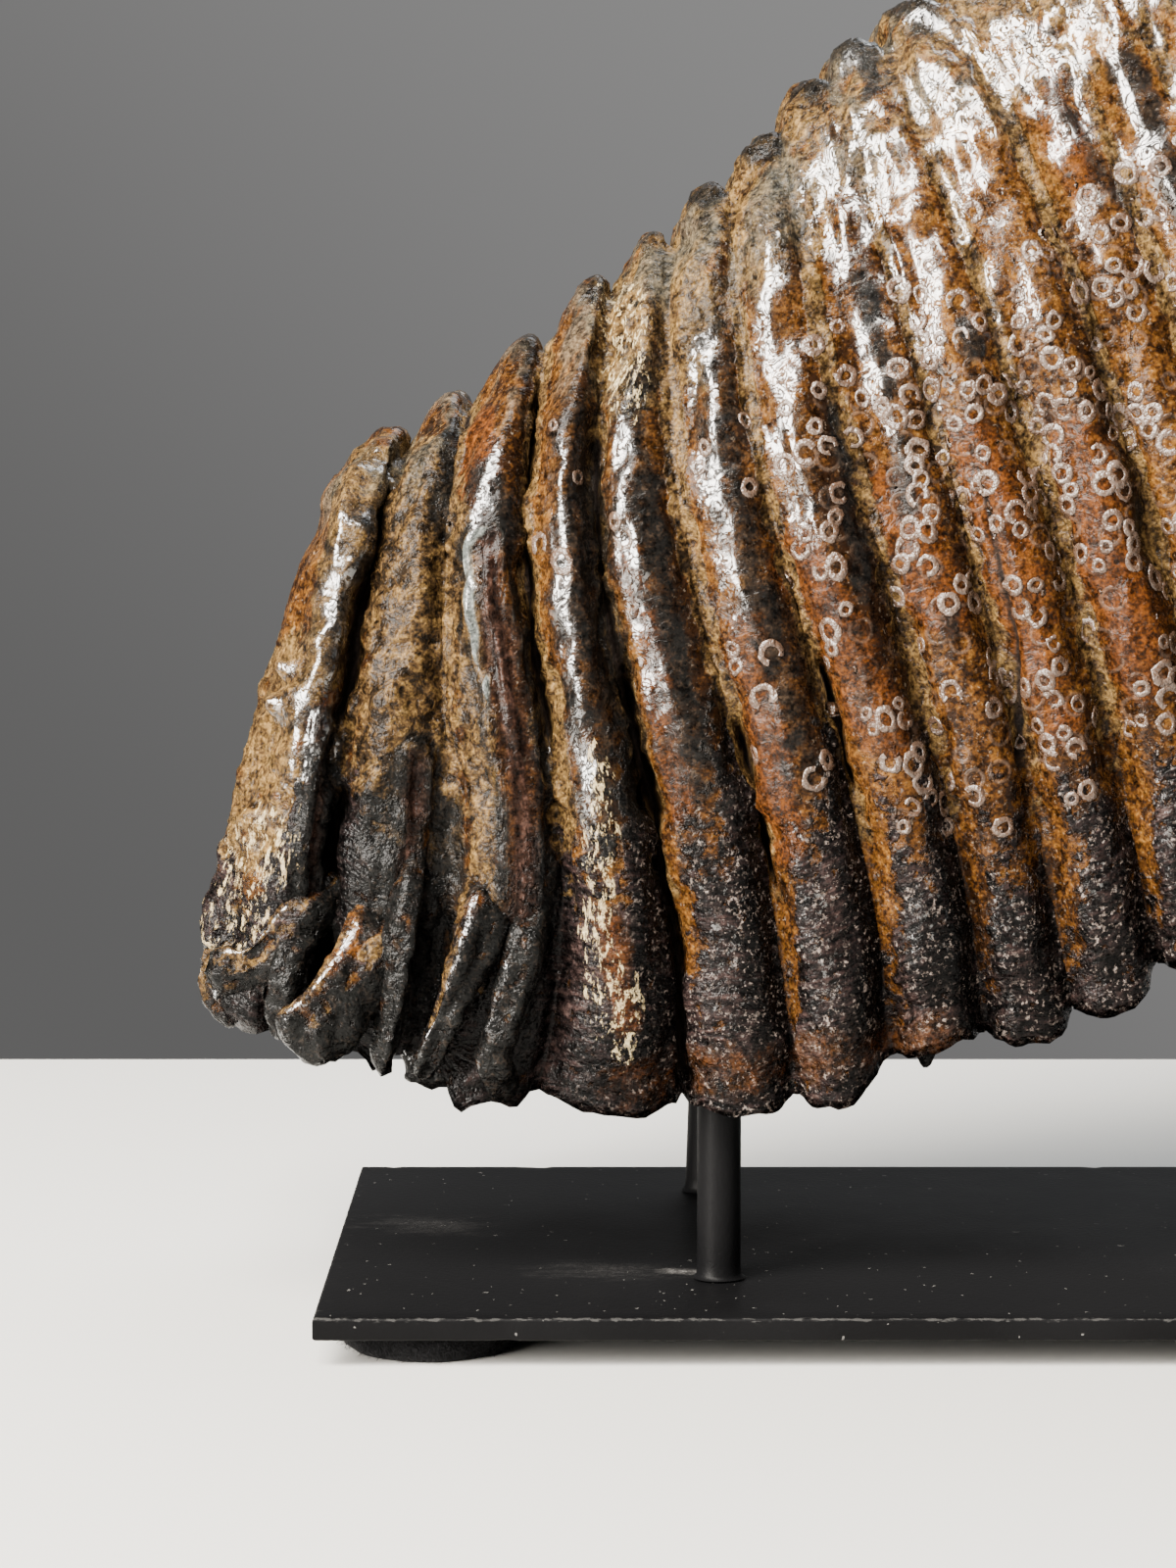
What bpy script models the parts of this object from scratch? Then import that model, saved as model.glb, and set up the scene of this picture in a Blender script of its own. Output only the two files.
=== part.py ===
"""Fossil mammoth molar standing on a black steel stand with felt feet.

Metres, +Z up. X runs along the tooth, from its unworn rear plates (-X) to its worn front
plates (+X), and Y runs across it. The origin is on the table under the middle of the base plate.
"""

import math

import bmesh
import bpy
import numpy as np
from mathutils import Vector

# Stand
BASE_LENGTH = 0.200
BASE_DEPTH = 0.100
BASE_THICKNESS = 0.0032
BASE_EDGE_BEVEL = 0.0005
FELT_DIAMETER = 0.025
FELT_THICKNESS = 0.0036
FELT_EDGE_BEVEL = 0.0006
FELT_INSET = 0.0155          # from the base plate's edges to a pad's centre
ROD_DIAMETER = 0.0062
ROD_SIDES = 20
ROD_X = 0.044
FRONT_ROD_Y = -0.027
BACK_ROD_Y = 0.031
BACK_ROD_LEAN = math.radians(1.8)
ROD_DEPTH_IN_TOOTH = 0.011
TOUCH_GAP = 0.0003           # kept between pieces that touch

# Tooth: the centre line of each plate in the XZ plane, counted from the rear.
# base x, base z, tip x, tip z, bow (sideways bulge), sway (S bend)
REAR_PLATE_LINES = (
    (-0.1100, 0.0450, -0.0915, 0.1240, -0.0005, 0.0005),
    (-0.0935, 0.0375, -0.0840, 0.1300, -0.0016, 0.0005),
    (-0.0795, 0.0345, -0.0733, 0.1375, 0.0021, 0.0031),
    (-0.0596, 0.0320, -0.0629, 0.1463, -0.0020, 0.0025),
    (-0.0405, 0.0320, -0.0545, 0.1530, -0.0040, 0.0030),
    (-0.0275, 0.0340, -0.0464, 0.1592, -0.0014, 0.0023),
    (-0.0130, 0.0420, -0.0389, 0.1653, -0.0020, 0.0024),
    (-0.0010, 0.0420, -0.0323, 0.1735, 0.0014, 0.0009),
    (0.0115, 0.0470, -0.0259, 0.1797, 0.0017, 0.0004),
    (0.0225, 0.0530, -0.0178, 0.1851, 0.0040, 0.0000),
)
FRONT_PLATES = 9             # these go on fanning at an even pace
BASE_STEP = 0.0122           # from one plate's base to the next
BASE_HEADING = math.radians(22)
BASE_TURN = math.radians(2.6)
TIP_STEP = 0.0108            # from one plate's tip to the next
TIP_HEADING = math.radians(32)
TIP_TURN = math.radians(-6.5)
PLATE_COUNT = len(REAR_PLATE_LINES) + FRONT_PLATES

HALF_WIDTH = 0.0425          # of the crown at its widest
REAR_NARROWING = 0.30
REAR_NARROWING_PLATES = 2.0
FRONT_NARROWING = 0.14
FRONT_NARROWING_FROM = 14.0
# Share of the half width at each share of a plate's height
WIDTH_PROFILE = (
    (0.00, 0.88), (0.12, 0.96), (0.30, 1.00), (0.50, 0.985),
    (0.70, 0.92), (0.85, 0.80), (0.94, 0.66), (1.00, 0.46),
)
WEAR_FROM, WEAR_TO = 10.8, 15.2   # plates over which the worn top sets in
WORN_AWAY = 0.16                  # share of a plate's height that wear has taken

GROOVE_DEPTH = 0.0046        # between two plates on the flanks
CEMENTED_DEPTH = 0.0014      # where cement fills the grooves near the tips
CEMENTED_PLATES = (4.5, 7.0)      # from the first plate with cement to the first that is full
CEMENTED_HEIGHTS = (0.42, 0.72)   # the same, as shares of a plate's height
TIP_NOTCH = 0.0042           # between two unworn tips
WORN_NOTCH = 0.0012          # between two worn plates
REAR_SLOT = 0.0045           # between the ragged ends of the rear plates
RIM_SLOT = 0.0022            # where an unbroken rim joins the plates' ends
FRONT_SLOT = 0.0036          # between the ends of the front plates
RIM_FROM, RIM_TO = 3.5, 7.5  # the plates that the rim joins
BASE_HOLLOW = 0.0060         # how far the base is hollowed between its rims
ROOT_FROM, ROOT_TO = 14.3, 18.3   # plates over the broken root stump
ROOT_DROP = 0.0150           # how far the stump reaches below the plates' ends
WIDTH_UNEVENNESS = 0.0009    # from one plate to the next
TIP_KNOBS = 4                # rounded knobs along an unworn plate's tip
KNOB_HEIGHT = 0.0012
TIP_CROWN = 0.0008           # how far the middle of an unworn tip stands above its sides
END_FALL = 0.35              # share of a groove's depth that is left at the crown's two ends
# Rounding of the crown's two end faces: inset from the side, bulge past the last plate
REAR_ROUNDING = ((0.0020, 0.0014), (0.0060, 0.0028), (0.0120, 0.0034), (0.0180, 0.0036))
FRONT_ROUNDING = ((0.0015, 0.0008), (0.0050, 0.0018), (0.0110, 0.0026), (0.0180, 0.0030))
# Deep open gaps: after which plate, lower and upper end as shares of the height, depth
OPEN_GAPS = (
    (1.5, 0.00, 0.95, 0.0060),
    (3.5, 0.30, 0.90, 0.0070),
    (4.5, 0.05, 0.80, 0.0100),
    (5.5, 0.25, 0.75, 0.0040),
    (6.5, 0.25, 0.60, 0.0050),
)
GAP_CLOSING = (0.7, 1.15)    # where a gap closes, as shares of half its length
GROOVE_SHARPNESS = 2.4       # power of the ridge's rounding
LEAST_HALF_WIDTH = 0.004
GROOVE_TIP_SHARE = 0.4       # share of a tip's knobs that shows in the groove beside it
SLOT_BLEND = 0.6             # plates over which the rim, its slots and the root stump set in
STATIONS = (-0.5, -0.33, -0.12, 0.12, 0.33)   # across one plate, as shares of its pitch
SIDE_POINTS = 12
TOP_POINTS = 7
BASE_POINTS = 5

ENAMEL_BROWN = (0.30, 0.15, 0.06)
STEEL_BLACK = (0.012, 0.012, 0.013)
FELT_BLACK = (0.010, 0.010, 0.011)

BASE_BOTTOM = FELT_THICKNESS + TOUCH_GAP
BASE_TOP = BASE_BOTTOM + BASE_THICKNESS


def clear_scene():
    for old in list(bpy.data.objects):
        bpy.data.objects.remove(old, do_unlink=True)


def new_collection(name):
    collection = bpy.data.collections.new(name)
    bpy.context.scene.collection.children.link(collection)
    return collection


def new_material(name, colour, roughness, metallic):
    material = bpy.data.materials.new(name)
    material.use_nodes = True
    shader = material.node_tree.nodes["Principled BSDF"]
    shader.inputs["Base Color"].default_value = (*colour, 1.0)
    shader.inputs["Roughness"].default_value = roughness
    shader.inputs["Metallic"].default_value = metallic
    return material


def new_object(name, mesh, collection, material):
    item = bpy.data.objects.new(name, mesh)
    collection.objects.link(item)
    if material:
        mesh.materials.append(material)
    return item


# --- the tooth's crown: plate number and share of height to a place ---


def walk(start, heading, turn, step, count):
    """Points one step apart along a line that turns a little at each step."""
    points = []
    x, z = start
    for _ in range(count):
        x += step * math.cos(heading)
        z += step * math.sin(heading)
        heading += turn
        points.append((x, z))
    return points


def all_plate_lines():
    last = REAR_PLATE_LINES[-1]
    bases = walk(last[0:2], BASE_HEADING, BASE_TURN, BASE_STEP, FRONT_PLATES)
    tips = walk(last[2:4], TIP_HEADING, TIP_TURN, TIP_STEP, FRONT_PLATES)
    front = [(*base, *tip, last[4], last[5]) for base, tip in zip(bases, tips)]
    return np.array(REAR_PLATE_LINES + tuple(front))


PLATE_LINES = all_plate_lines()


def plate_line(plate):
    """The line's six numbers at any plate number, whole or not, on a smooth curve through them."""
    last = PLATE_COUNT - 1
    place = plate - 1.0
    low = int(min(max(math.floor(place), 0), last - 1))
    share = place - low
    if share < 0.0 or share > 1.0:
        slope = PLATE_LINES[low + 1] - PLATE_LINES[low]
        return PLATE_LINES[low] + slope * share
    before = PLATE_LINES[max(low - 1, 0)]
    here, after = PLATE_LINES[low], PLATE_LINES[low + 1]
    beyond = PLATE_LINES[min(low + 2, last)]
    return 0.5 * (
        2.0 * here
        + (after - before) * share
        + (2.0 * before - 5.0 * here + 4.0 * after - beyond) * share ** 2
        + (3.0 * here - before - 3.0 * after + beyond) * share ** 3
    )


def smooth_step(low, high, value):
    share = min(max((value - low) / (high - low), 0.0), 1.0)
    return share * share * (3.0 - 2.0 * share)


def wear(plate):
    return smooth_step(WEAR_FROM, WEAR_TO, plate)


def half_width(plate, height):
    rear = 1.0 - REAR_NARROWING * math.exp(-(plate - 0.5) / REAR_NARROWING_PLATES)
    front = 1.0 - FRONT_NARROWING * smooth_step(FRONT_NARROWING_FROM, PLATE_COUNT + 0.5, plate)
    shares, widths = zip(*WIDTH_PROFILE)
    left = height * (1.0 - WORN_AWAY * wear(plate))
    uneven = WIDTH_UNEVENNESS * math.sin(2.1 * math.floor(plate + 0.5))
    return HALF_WIDTH * rear * front * float(np.interp(left, shares, widths)) + uneven


def ridge_fall(plate):
    """0 on a plate's crest, 1 in the groove between two plates."""
    crest = min(max(math.floor(plate + 0.5), 1), PLATE_COUNT)
    outermost = plate < 1.0 or plate > PLATE_COUNT
    return (2.0 * abs(plate - crest)) ** GROOVE_SHARPNESS * (END_FALL if outermost else 1.0)


def base_slot(plate):
    rear = 1.0 - smooth_step(RIM_FROM - SLOT_BLEND, RIM_FROM, plate)
    front = smooth_step(RIM_TO, RIM_TO + SLOT_BLEND, plate)
    return RIM_SLOT + (REAR_SLOT - RIM_SLOT) * rear + (FRONT_SLOT - RIM_SLOT) * front


def root_stump(plate):
    start = smooth_step(ROOT_FROM - SLOT_BLEND, ROOT_FROM + SLOT_BLEND, plate)
    return start * (1.0 - smooth_step(ROOT_TO - SLOT_BLEND, ROOT_TO + SLOT_BLEND, plate))


def groove_depth(plate, height):
    cement = smooth_step(*CEMENTED_PLATES, plate) * smooth_step(*CEMENTED_HEIGHTS, height)
    depth = GROOVE_DEPTH + (CEMENTED_DEPTH - GROOVE_DEPTH) * cement
    for after, lower, upper, extra in OPEN_GAPS:
        if abs(plate - after) < 0.5:
            from_middle = abs(height - 0.5 * (lower + upper)) / (0.5 * (upper - lower))
            depth += extra * (1.0 - smooth_step(*GAP_CLOSING, from_middle))
    return depth


def crown_place(plate, height):
    """X and Z on a plate's centre line."""
    base_x, base_z, tip_x, tip_z, bow, sway = plate_line(plate)
    along = Vector((tip_x - base_x, tip_z - base_z))
    across = Vector((along.y, -along.x)).normalized()
    bulge = bow * math.sin(math.pi * height) + sway * math.sin(2.0 * math.pi * height)
    return Vector((base_x, base_z)) + along * height + across * bulge


def plate_length(plate):
    base_x, base_z, tip_x, tip_z, _, _ = plate_line(plate)
    return math.hypot(tip_x - base_x, tip_z - base_z)


def crown_ring(plate, inset=0.0, push=0.0):
    """A closed ring around the crown: up the near flank, over the top, down the far one, under."""
    fall = ridge_fall(plate)
    worn = wear(plate)
    length = plate_length(plate)
    notch = TIP_NOTCH + (WORN_NOTCH - TIP_NOTCH) * worn
    low = (base_slot(plate) * fall + inset) / length
    high = 1.0 - (notch * fall + inset) / length
    heights = [low + (high - low) * i / (SIDE_POINTS - 1) for i in range(SIDE_POINTS)]
    flanks = [half_width(plate, h) - fall * groove_depth(plate, h) - inset for h in heights]
    widths = [max(flank, LEAST_HALF_WIDTH) for flank in flanks]
    ring = [(-w, h) for w, h in zip(widths, heights)]
    for i in range(1, TOP_POINTS + 1):
        across = 2.0 * i / (TOP_POINTS + 1) - 1.0
        knob = 0.5 - 0.5 * math.cos(math.pi * TIP_KNOBS * (across + 1.0))
        crown = 1.0 - across * across
        rise = (1.0 - worn) * (KNOB_HEIGHT * knob + TIP_CROWN * crown)
        rise *= 1.0 - (1.0 - GROOVE_TIP_SHARE) * fall
        ring.append((widths[-1] * across, high + rise / length))
    ring += [(w, h) for w, h in reversed(list(zip(widths, heights)))]
    for i in range(1, BASE_POINTS + 1):
        across = 1.0 - 2.0 * i / (BASE_POINTS + 1)
        round_off = math.sqrt(1.0 - across * across)
        rise = (BASE_HOLLOW - (BASE_HOLLOW + ROOT_DROP) * root_stump(plate)) * round_off
        ring.append((widths[0] * across, low + rise / length))
    points = []
    for y, height in ring:
        place = crown_place(plate, height)
        points.append(Vector((place.x + push, y, place.y)))
    return points


def crown_mesh():
    """Rings joined one after the other along the tooth, closed by a face at each end."""
    first, last = 0.5, PLATE_COUNT + 0.5
    rings = [crown_ring(first, inset, -bulge) for inset, bulge in reversed(REAR_ROUNDING)]
    for plate in range(1, PLATE_COUNT + 1):
        rings += [crown_ring(plate + station) for station in STATIONS]
    rings += [crown_ring(last, inset, bulge) for inset, bulge in FRONT_ROUNDING]
    shape = bmesh.new()
    loops = [[shape.verts.new(point) for point in ring] for ring in rings]
    for ring, following in zip(loops, loops[1:]):
        for i, corner in enumerate(ring):
            after = (i + 1) % len(ring)
            shape.faces.new((corner, following[i], following[after], ring[after]))
    shape.faces.new(loops[0])
    shape.faces.new(list(reversed(loops[-1])))
    bmesh.ops.triangulate(shape, faces=shape.faces[:])
    bmesh.ops.recalc_face_normals(shape, faces=shape.faces[:])
    mesh = bpy.data.meshes.new("tooth")
    shape.to_mesh(mesh)
    shape.free()
    return mesh


def base_height_over(x):
    """The tooth's base line over a place on the stand, from the plates' base ends."""
    return float(np.interp(x, PLATE_LINES[:, 0], PLATE_LINES[:, 1]))


# --- pieces ---


def rods():
    """Name, foot on the base plate, top inside the tooth."""
    places = []
    for side, x in (("left", -ROD_X), ("right", ROD_X)):
        for row, y, lean in (("front", FRONT_ROD_Y, 0.0), ("back", BACK_ROD_Y, BACK_ROD_LEAN)):
            top = base_height_over(x) + ROD_DEPTH_IN_TOOTH + BASE_HOLLOW
            foot = Vector((x, y, BASE_TOP + TOUCH_GAP))
            rise = top - foot.z
            sway = math.copysign(rise * math.tan(lean), -x)
            places.append((f"rod_{row}_{side}", foot, foot + Vector((sway, 0.0, rise))))
    return places


def rod_mesh(name, foot, top, radius, extra=0.0):
    """A straight round bar from foot to top, with flat ends square to the table."""
    shape = bmesh.new()
    made = bmesh.ops.create_cone(
        shape, cap_ends=True, segments=ROD_SIDES,
        radius1=radius, radius2=radius, depth=1.0,
    )
    rise = top.z - foot.z + extra
    for corner in made["verts"]:
        share = corner.co.z + 0.5
        shift = (top - foot) * share
        corner.co = Vector((foot.x + corner.co.x + shift.x, foot.y + corner.co.y, foot.z + rise * share))
    mesh = bpy.data.meshes.new(name)
    shape.to_mesh(mesh)
    shape.free()
    mesh.shade_smooth()
    mesh.set_sharp_from_angle(angle=math.radians(40))
    return mesh


def add_tooth(parts, cutters):
    material = new_material("fossil_tooth", ENAMEL_BROWN, 0.28, 0.0)
    tooth = new_object("tooth", crown_mesh(), parts, material)
    for name, foot, top in rods():
        mesh = rod_mesh("pocket_" + name, foot, top, ROD_DIAMETER / 2 + TOUCH_GAP, TOUCH_GAP)
        pocket = new_object("pocket_" + name, mesh, cutters, None)
        pocket.hide_render = True
        pocket.display_type = "WIRE"
        cut = tooth.modifiers.new("pocket_" + name, "BOOLEAN")
        cut.operation = "DIFFERENCE"
        cut.object = pocket
    return tooth


def add_rods(parts):
    material = new_material("black_steel_rod", STEEL_BLACK, 0.35, 0.0)
    for name, foot, top in rods():
        new_object(name, rod_mesh(name, foot, top, ROD_DIAMETER / 2), parts, material)


def add_base_plate(parts):
    shape = bmesh.new()
    bmesh.ops.create_cube(shape, size=1.0)
    bmesh.ops.scale(shape, vec=(BASE_LENGTH, BASE_DEPTH, BASE_THICKNESS), verts=shape.verts)
    mesh = bpy.data.meshes.new("base_plate")
    shape.to_mesh(mesh)
    shape.free()
    material = new_material("black_steel_plate", STEEL_BLACK, 0.42, 0.0)
    plate = new_object("base_plate", mesh, parts, material)
    plate.location.z = BASE_BOTTOM + BASE_THICKNESS / 2
    edge = plate.modifiers.new("eased_edges", "BEVEL")
    edge.width = BASE_EDGE_BEVEL
    edge.segments = 2


def add_felt_pads(parts):
    material = new_material("black_felt", FELT_BLACK, 0.95, 0.0)
    shape = bmesh.new()
    bmesh.ops.create_cone(
        shape, cap_ends=True, segments=32,
        radius1=FELT_DIAMETER / 2, radius2=FELT_DIAMETER / 2, depth=FELT_THICKNESS,
    )
    mesh = bpy.data.meshes.new("felt_pad")
    shape.to_mesh(mesh)
    shape.free()
    mesh.materials.append(material)
    for row, side_y in (("front", -1), ("back", 1)):
        for side, side_x in (("left", -1), ("right", 1)):
            pad = new_object(f"felt_pad_{row}_{side}", mesh, parts, None)
            pad.location = (
                side_x * (BASE_LENGTH / 2 - FELT_INSET),
                side_y * (BASE_DEPTH / 2 - FELT_INSET),
                FELT_THICKNESS / 2,
            )
            edge = pad.modifiers.new("soft_edge", "BEVEL")
            edge.width = FELT_EDGE_BEVEL
            edge.segments = 1
            edge.angle_limit = math.radians(60)


def main():
    clear_scene()
    parts = new_collection("mammoth_tooth_on_stand")
    cutters = new_collection("cutters")
    add_base_plate(parts)
    add_felt_pads(parts)
    add_rods(parts)
    add_tooth(parts, cutters)


main()
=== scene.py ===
"""Looks of a fossil mammoth molar that stands on four rods over a black steel plate.

Metres, +Z up. X runs along the tooth, from its unworn rear plates (-X) to its worn front
plates (+X), and Y runs across it. The near flank faces -Y.
"""

import itertools
import math

import bmesh
import bpy
import numpy as np
from bpy.props import FloatProperty, FloatVectorProperty, IntProperty, PointerProperty
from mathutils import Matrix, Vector


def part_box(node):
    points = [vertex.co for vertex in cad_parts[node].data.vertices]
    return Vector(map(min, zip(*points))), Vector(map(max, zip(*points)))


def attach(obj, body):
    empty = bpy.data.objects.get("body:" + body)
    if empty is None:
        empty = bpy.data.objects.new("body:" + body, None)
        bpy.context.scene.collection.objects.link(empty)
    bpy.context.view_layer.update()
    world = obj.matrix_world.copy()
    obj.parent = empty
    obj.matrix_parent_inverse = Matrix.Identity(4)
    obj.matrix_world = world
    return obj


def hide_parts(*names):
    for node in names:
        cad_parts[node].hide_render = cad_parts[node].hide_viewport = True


bl_info = {
    "name": "Mammoth Molar on a Stand",
    "version": (1, 0, 0),
    "blender": (4, 5, 0),
    "location": "3D View > Sidebar > Mammoth Molar",
    "description": "Builds the dressed mammoth molar, its scars, its steel stand and its felt feet",
    "category": "Add Mesh",
}

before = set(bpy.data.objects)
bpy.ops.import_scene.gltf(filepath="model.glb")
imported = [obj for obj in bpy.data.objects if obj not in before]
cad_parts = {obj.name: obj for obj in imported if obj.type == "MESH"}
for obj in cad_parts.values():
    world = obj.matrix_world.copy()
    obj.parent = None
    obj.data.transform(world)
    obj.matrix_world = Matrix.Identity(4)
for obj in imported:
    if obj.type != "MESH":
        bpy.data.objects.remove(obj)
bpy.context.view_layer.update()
PLATE_LOW, PLATE_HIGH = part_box("base_plate")
PAD_NODES = [f"felt_pad_{row}_{side}" for row in ("front", "back") for side in ("left", "right")]
ROD_NODES = [f"rod_{row}_{side}" for row in ("front", "back") for side in ("left", "right")]
MM = 0.001

# --- the stage ---

FLOOR_SIZE, FLOOR_BACK = (4.0, 2.2, 0.03), 0.193
CAMERA_PLACE, CAMERA_DIP = (-0.0626, -0.4957, 0.1215), 5.34
SENSOR_WIDTH = 36.0
LIGHT_AIM = Vector((-0.02, 0.0, 0.11))
WARM, COOL = (1.0, 0.945, 0.87), (0.92, 0.96, 1.0)
# Each light's name, direction from where it aims, distance, width and height, and tint
LIGHTS = (
    ("upper", (-0.25, -0.62, 0.80), 1.10, (0.50, 0.40), WARM),
    ("key", (-0.68, -0.55, 0.44), 1.10, (0.50, 1.10), WARM),
    ("fill", (0.85, -0.50, 0.25), 1.20, (0.80, 0.80), COOL),
    ("top", (0.35, 0.55, 1.00), 1.20, (0.90, 0.90), COOL),
)

# --- the crown's lines, as in the part's solids ---

# base x, base z, tip x, tip z, bow (sideways bulge), sway (S bend) of plates 1 to 10
REAR_PLATE_LINES = (
    (-0.11, 0.045, -0.0915, 0.124, -0.0005, 0.0005),
    (-0.0935, 0.0375, -0.084, 0.13, -0.0016, 0.0005),
    (-0.0795, 0.0345, -0.0733, 0.1375, 0.0021, 0.0031),
    (-0.0596, 0.032, -0.0629, 0.1463, -0.002, 0.0025),
    (-0.0405, 0.032, -0.0545, 0.153, -0.004, 0.003),
    (-0.0275, 0.034, -0.0464, 0.1592, -0.0014, 0.0023),
    (-0.013, 0.042, -0.0389, 0.1653, -0.002, 0.0024),
    (-0.001, 0.042, -0.0323, 0.1735, 0.0014, 0.0009),
    (0.0115, 0.047, -0.0259, 0.1797, 0.0017, 0.0004),
    (0.0225, 0.053, -0.0178, 0.1851, 0.004, 0.0),
)
FRONT_PLATES = 9
BASE_STEP, BASE_HEADING, BASE_TURN = 0.0122, math.radians(22), math.radians(2.6)
TIP_STEP, TIP_HEADING, TIP_TURN = 0.0108, math.radians(32), math.radians(-6.5)
PLATE_COUNT = len(REAR_PLATE_LINES) + FRONT_PLATES
REAR_NARROWING, REAR_NARROWING_PLATES = 0.3, 2.0
FRONT_NARROWING, FRONT_NARROWING_FROM = 0.14, 14.0
WIDTH_PROFILE = (
    (0.0, 0.88), (0.12, 0.96), (0.3, 1.0), (0.5, 0.985),
    (0.7, 0.92), (0.85, 0.8), (0.94, 0.66), (1.0, 0.46),
)
WEAR_FROM, WEAR_TO, WORN_AWAY = 10.8, 15.2, 0.16
CEMENTED_DEPTH = 0.0014
CEMENTED_PLATES, CEMENTED_HEIGHTS = (4.5, 7.0), (0.42, 0.72)
FILLED_SHARE, FILLED_PLATES, FILLED_HEIGHTS = 0.6, (6.0, 8.5), (0.62, 0.82)
LOW_NOTCHES, LOW_NOTCH_SHARE = (4.5, 6.5), 0.5
WORN_NOTCH = 0.0012
REAR_SLOT, RIM_SLOT, FRONT_SLOT = 0.0045, 0.0022, 0.0036
RIM_FROM, RIM_TO = 3.5, 7.5
ROOT_FROM, ROOT_TO, ROOT_DROP = 14.3, 18.3, 0.015
WIDTH_UNEVENNESS = 0.0009
END_FALL = 0.35
LOWEST_POINT = 0.0312
GROOVE_SHARPNESS, GROOVE_FLOOR = 2.6, 0.22
FACET_SLOPE, FACET_START = 0.42, 0.0002
FACET_PLATES, FACET_HEIGHTS = (3.0, 3.6, 12.5, 14.0), (0.2, 0.36, 0.9, 0.98)
SLOT_BLEND = 0.6
REAR_BULGE = ((0.0, 0.0), (0.002, 0.0014), (0.006, 0.0028), (0.012, 0.0034), (0.018, 0.0036))
FRONT_BULGE = ((0.0, 0.0), (0.0015, 0.0008), (0.005, 0.0018), (0.011, 0.0026), (0.018, 0.003))

# Narrow open gaps: after which plate, lower and upper end (share of height), depth, half width
OPEN_GAPS = (
    (1.57, 0.0, 0.42, 0.007, 0.0009),
    (1.45, 0.52, 0.92, 0.0035, 0.0007),
    (2.5, 0.82, 0.98, 0.002, 0.0003),
    (3.5, 0.46, 0.93, 0.005, 0.00035),
    (4.52, 0.0, 0.54, 0.009, 0.0006),
    (4.5, 0.5, 0.8, 0.004, 0.0002),
    (5.55, 0.26, 0.44, 0.006, 0.0005),
    (6.57, 0.32, 0.46, 0.006, 0.0005),
    (12.5, 0.1, 0.45, 0.006, 0.0008),
    (15.5, 0.2, 0.6, 0.005, 0.0007),
)
# Enamel loops laid bare on the flanks of the rear plates: (plate, height) along their two
# bands, from the top down, their upper end, how deep the dentine between them lies, how high
# and how pale the bands are. The second loop's paleness also paints the highlight along its ridge
FLANK_LOOPS = (
    (((2.78, 0.73), (2.8, 0.65), (2.89, 0.55), (2.92, 0.47), (2.95, 0.4), (2.97, 0.3), (3.0, 0.14)),
     ((3.18, 0.73), (3.28, 0.62), (3.32, 0.54), (3.35, 0.48), (3.27, 0.39), (3.26, 0.28), (3.25, 0.14)),
     0.77, 0.0013, 0.0006, (1.0, 0.42)),
    (((2.16, 0.45), (2.15, 0.35), (2.1, 0.27), (2.08, 0.1)),
     ((2.36, 0.45), (2.33, 0.34), (2.3, 0.24), (2.3, 0.1)), 0.5, 0.0012, 0.001, (0.4, 0.48)),
    (((1.12, 0.5), (1.2, 0.42), (1.22, 0.32), (1.32, 0.22), (1.36, 0.1)),
     ((1.28, 0.5), (1.38, 0.42), (1.4, 0.32), (1.47, 0.22), (1.48, 0.1)), 0.55, 0.001, 0.0009,
     (0.1, 0.28)),
)

# Small nodules on the rearmost edge: plate, height, how far they stand out
NODULES = ((0.52, 0.62, 0.0026), (0.52, 0.55, 0.0028), (0.6, 0.8, 0.0012), (0.52, 0.34, 0.0016))
# The rearmost plate stands out like a finger, with a full upper corner
FINGER_RISE, CORNER_RISE = 0.0014, 0.0024

# Marks on the near flank: plate, height, plate, height, radius, strength
CHARCOAL_MARKS = (
    (3.98, 0.7, 4.02, 0.34, 0.003, 0.75), (4.95, 0.84, 5.02, 0.44, 0.0022, 0.72),
    (5.98, 0.78, 6.02, 0.55, 0.0018, 0.7), (1.95, 0.42, 2.02, 0.2, 0.0026, 0.7),
    (1.15, 0.53, 1.35, 0.42, 0.002, 1.0), (1.35, 0.42, 1.45, 0.2, 0.0024, 1.0),
    (1.22, 0.8, 1.24, 0.78, 0.0011, 0.8), (1.2, 0.87, 1.22, 0.86, 0.0009, 0.8),
    (1.16, 0.73, 1.18, 0.71, 0.0012, 0.9), (0.98, 0.82, 0.95, 0.52, 0.0022, 0.55),
    (2.3, 0.95, 2.42, 0.8, 0.0016, 0.8), (2.2, 0.46, 2.25, 0.12, 0.0024, 1.0),
    (2.5, 0.4, 2.6, 0.16, 0.0022, 1.0), (2.95, 0.83, 3.1, 0.76, 0.0026, 1.0),
    (4.28, 0.8, 4.25, 0.36, 0.0022, 0.8), (4.52, 0.76, 4.45, 0.4, 0.0018, 0.6),
    (5.05, 0.82, 5.15, 0.62, 0.0017, 0.9), (5.15, 0.6, 5.12, 0.42, 0.0015, 0.9),
    (5.75, 0.78, 5.9, 0.64, 0.0011, 0.7), (6.15, 0.56, 6.2, 0.5, 0.0017, 0.9),
    (7.4, 0.7, 7.25, 0.5, 0.0011, 0.8), (8.1, 0.8, 8.05, 0.68, 0.0013, 1.0),
    (8.0, 0.63, 7.95, 0.57, 0.0015, 0.9), (9.17, 0.7, 9.23, 0.67, 0.0012, 1.0),
    (8.0, 0.46, 8.0, 0.43, 0.0012, 0.8), (10.4, 0.61, 10.4, 0.59, 0.001, 0.7),
    (10.4, 0.46, 10.38, 0.44, 0.0011, 0.7), (9.0, 0.95, 9.15, 0.985, 0.0013, 1.0),
    (3.05, 0.99, 3.22, 0.96, 0.001, 0.7), (6.05, 0.99, 6.1, 0.97, 0.001, 0.8),
)
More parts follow.
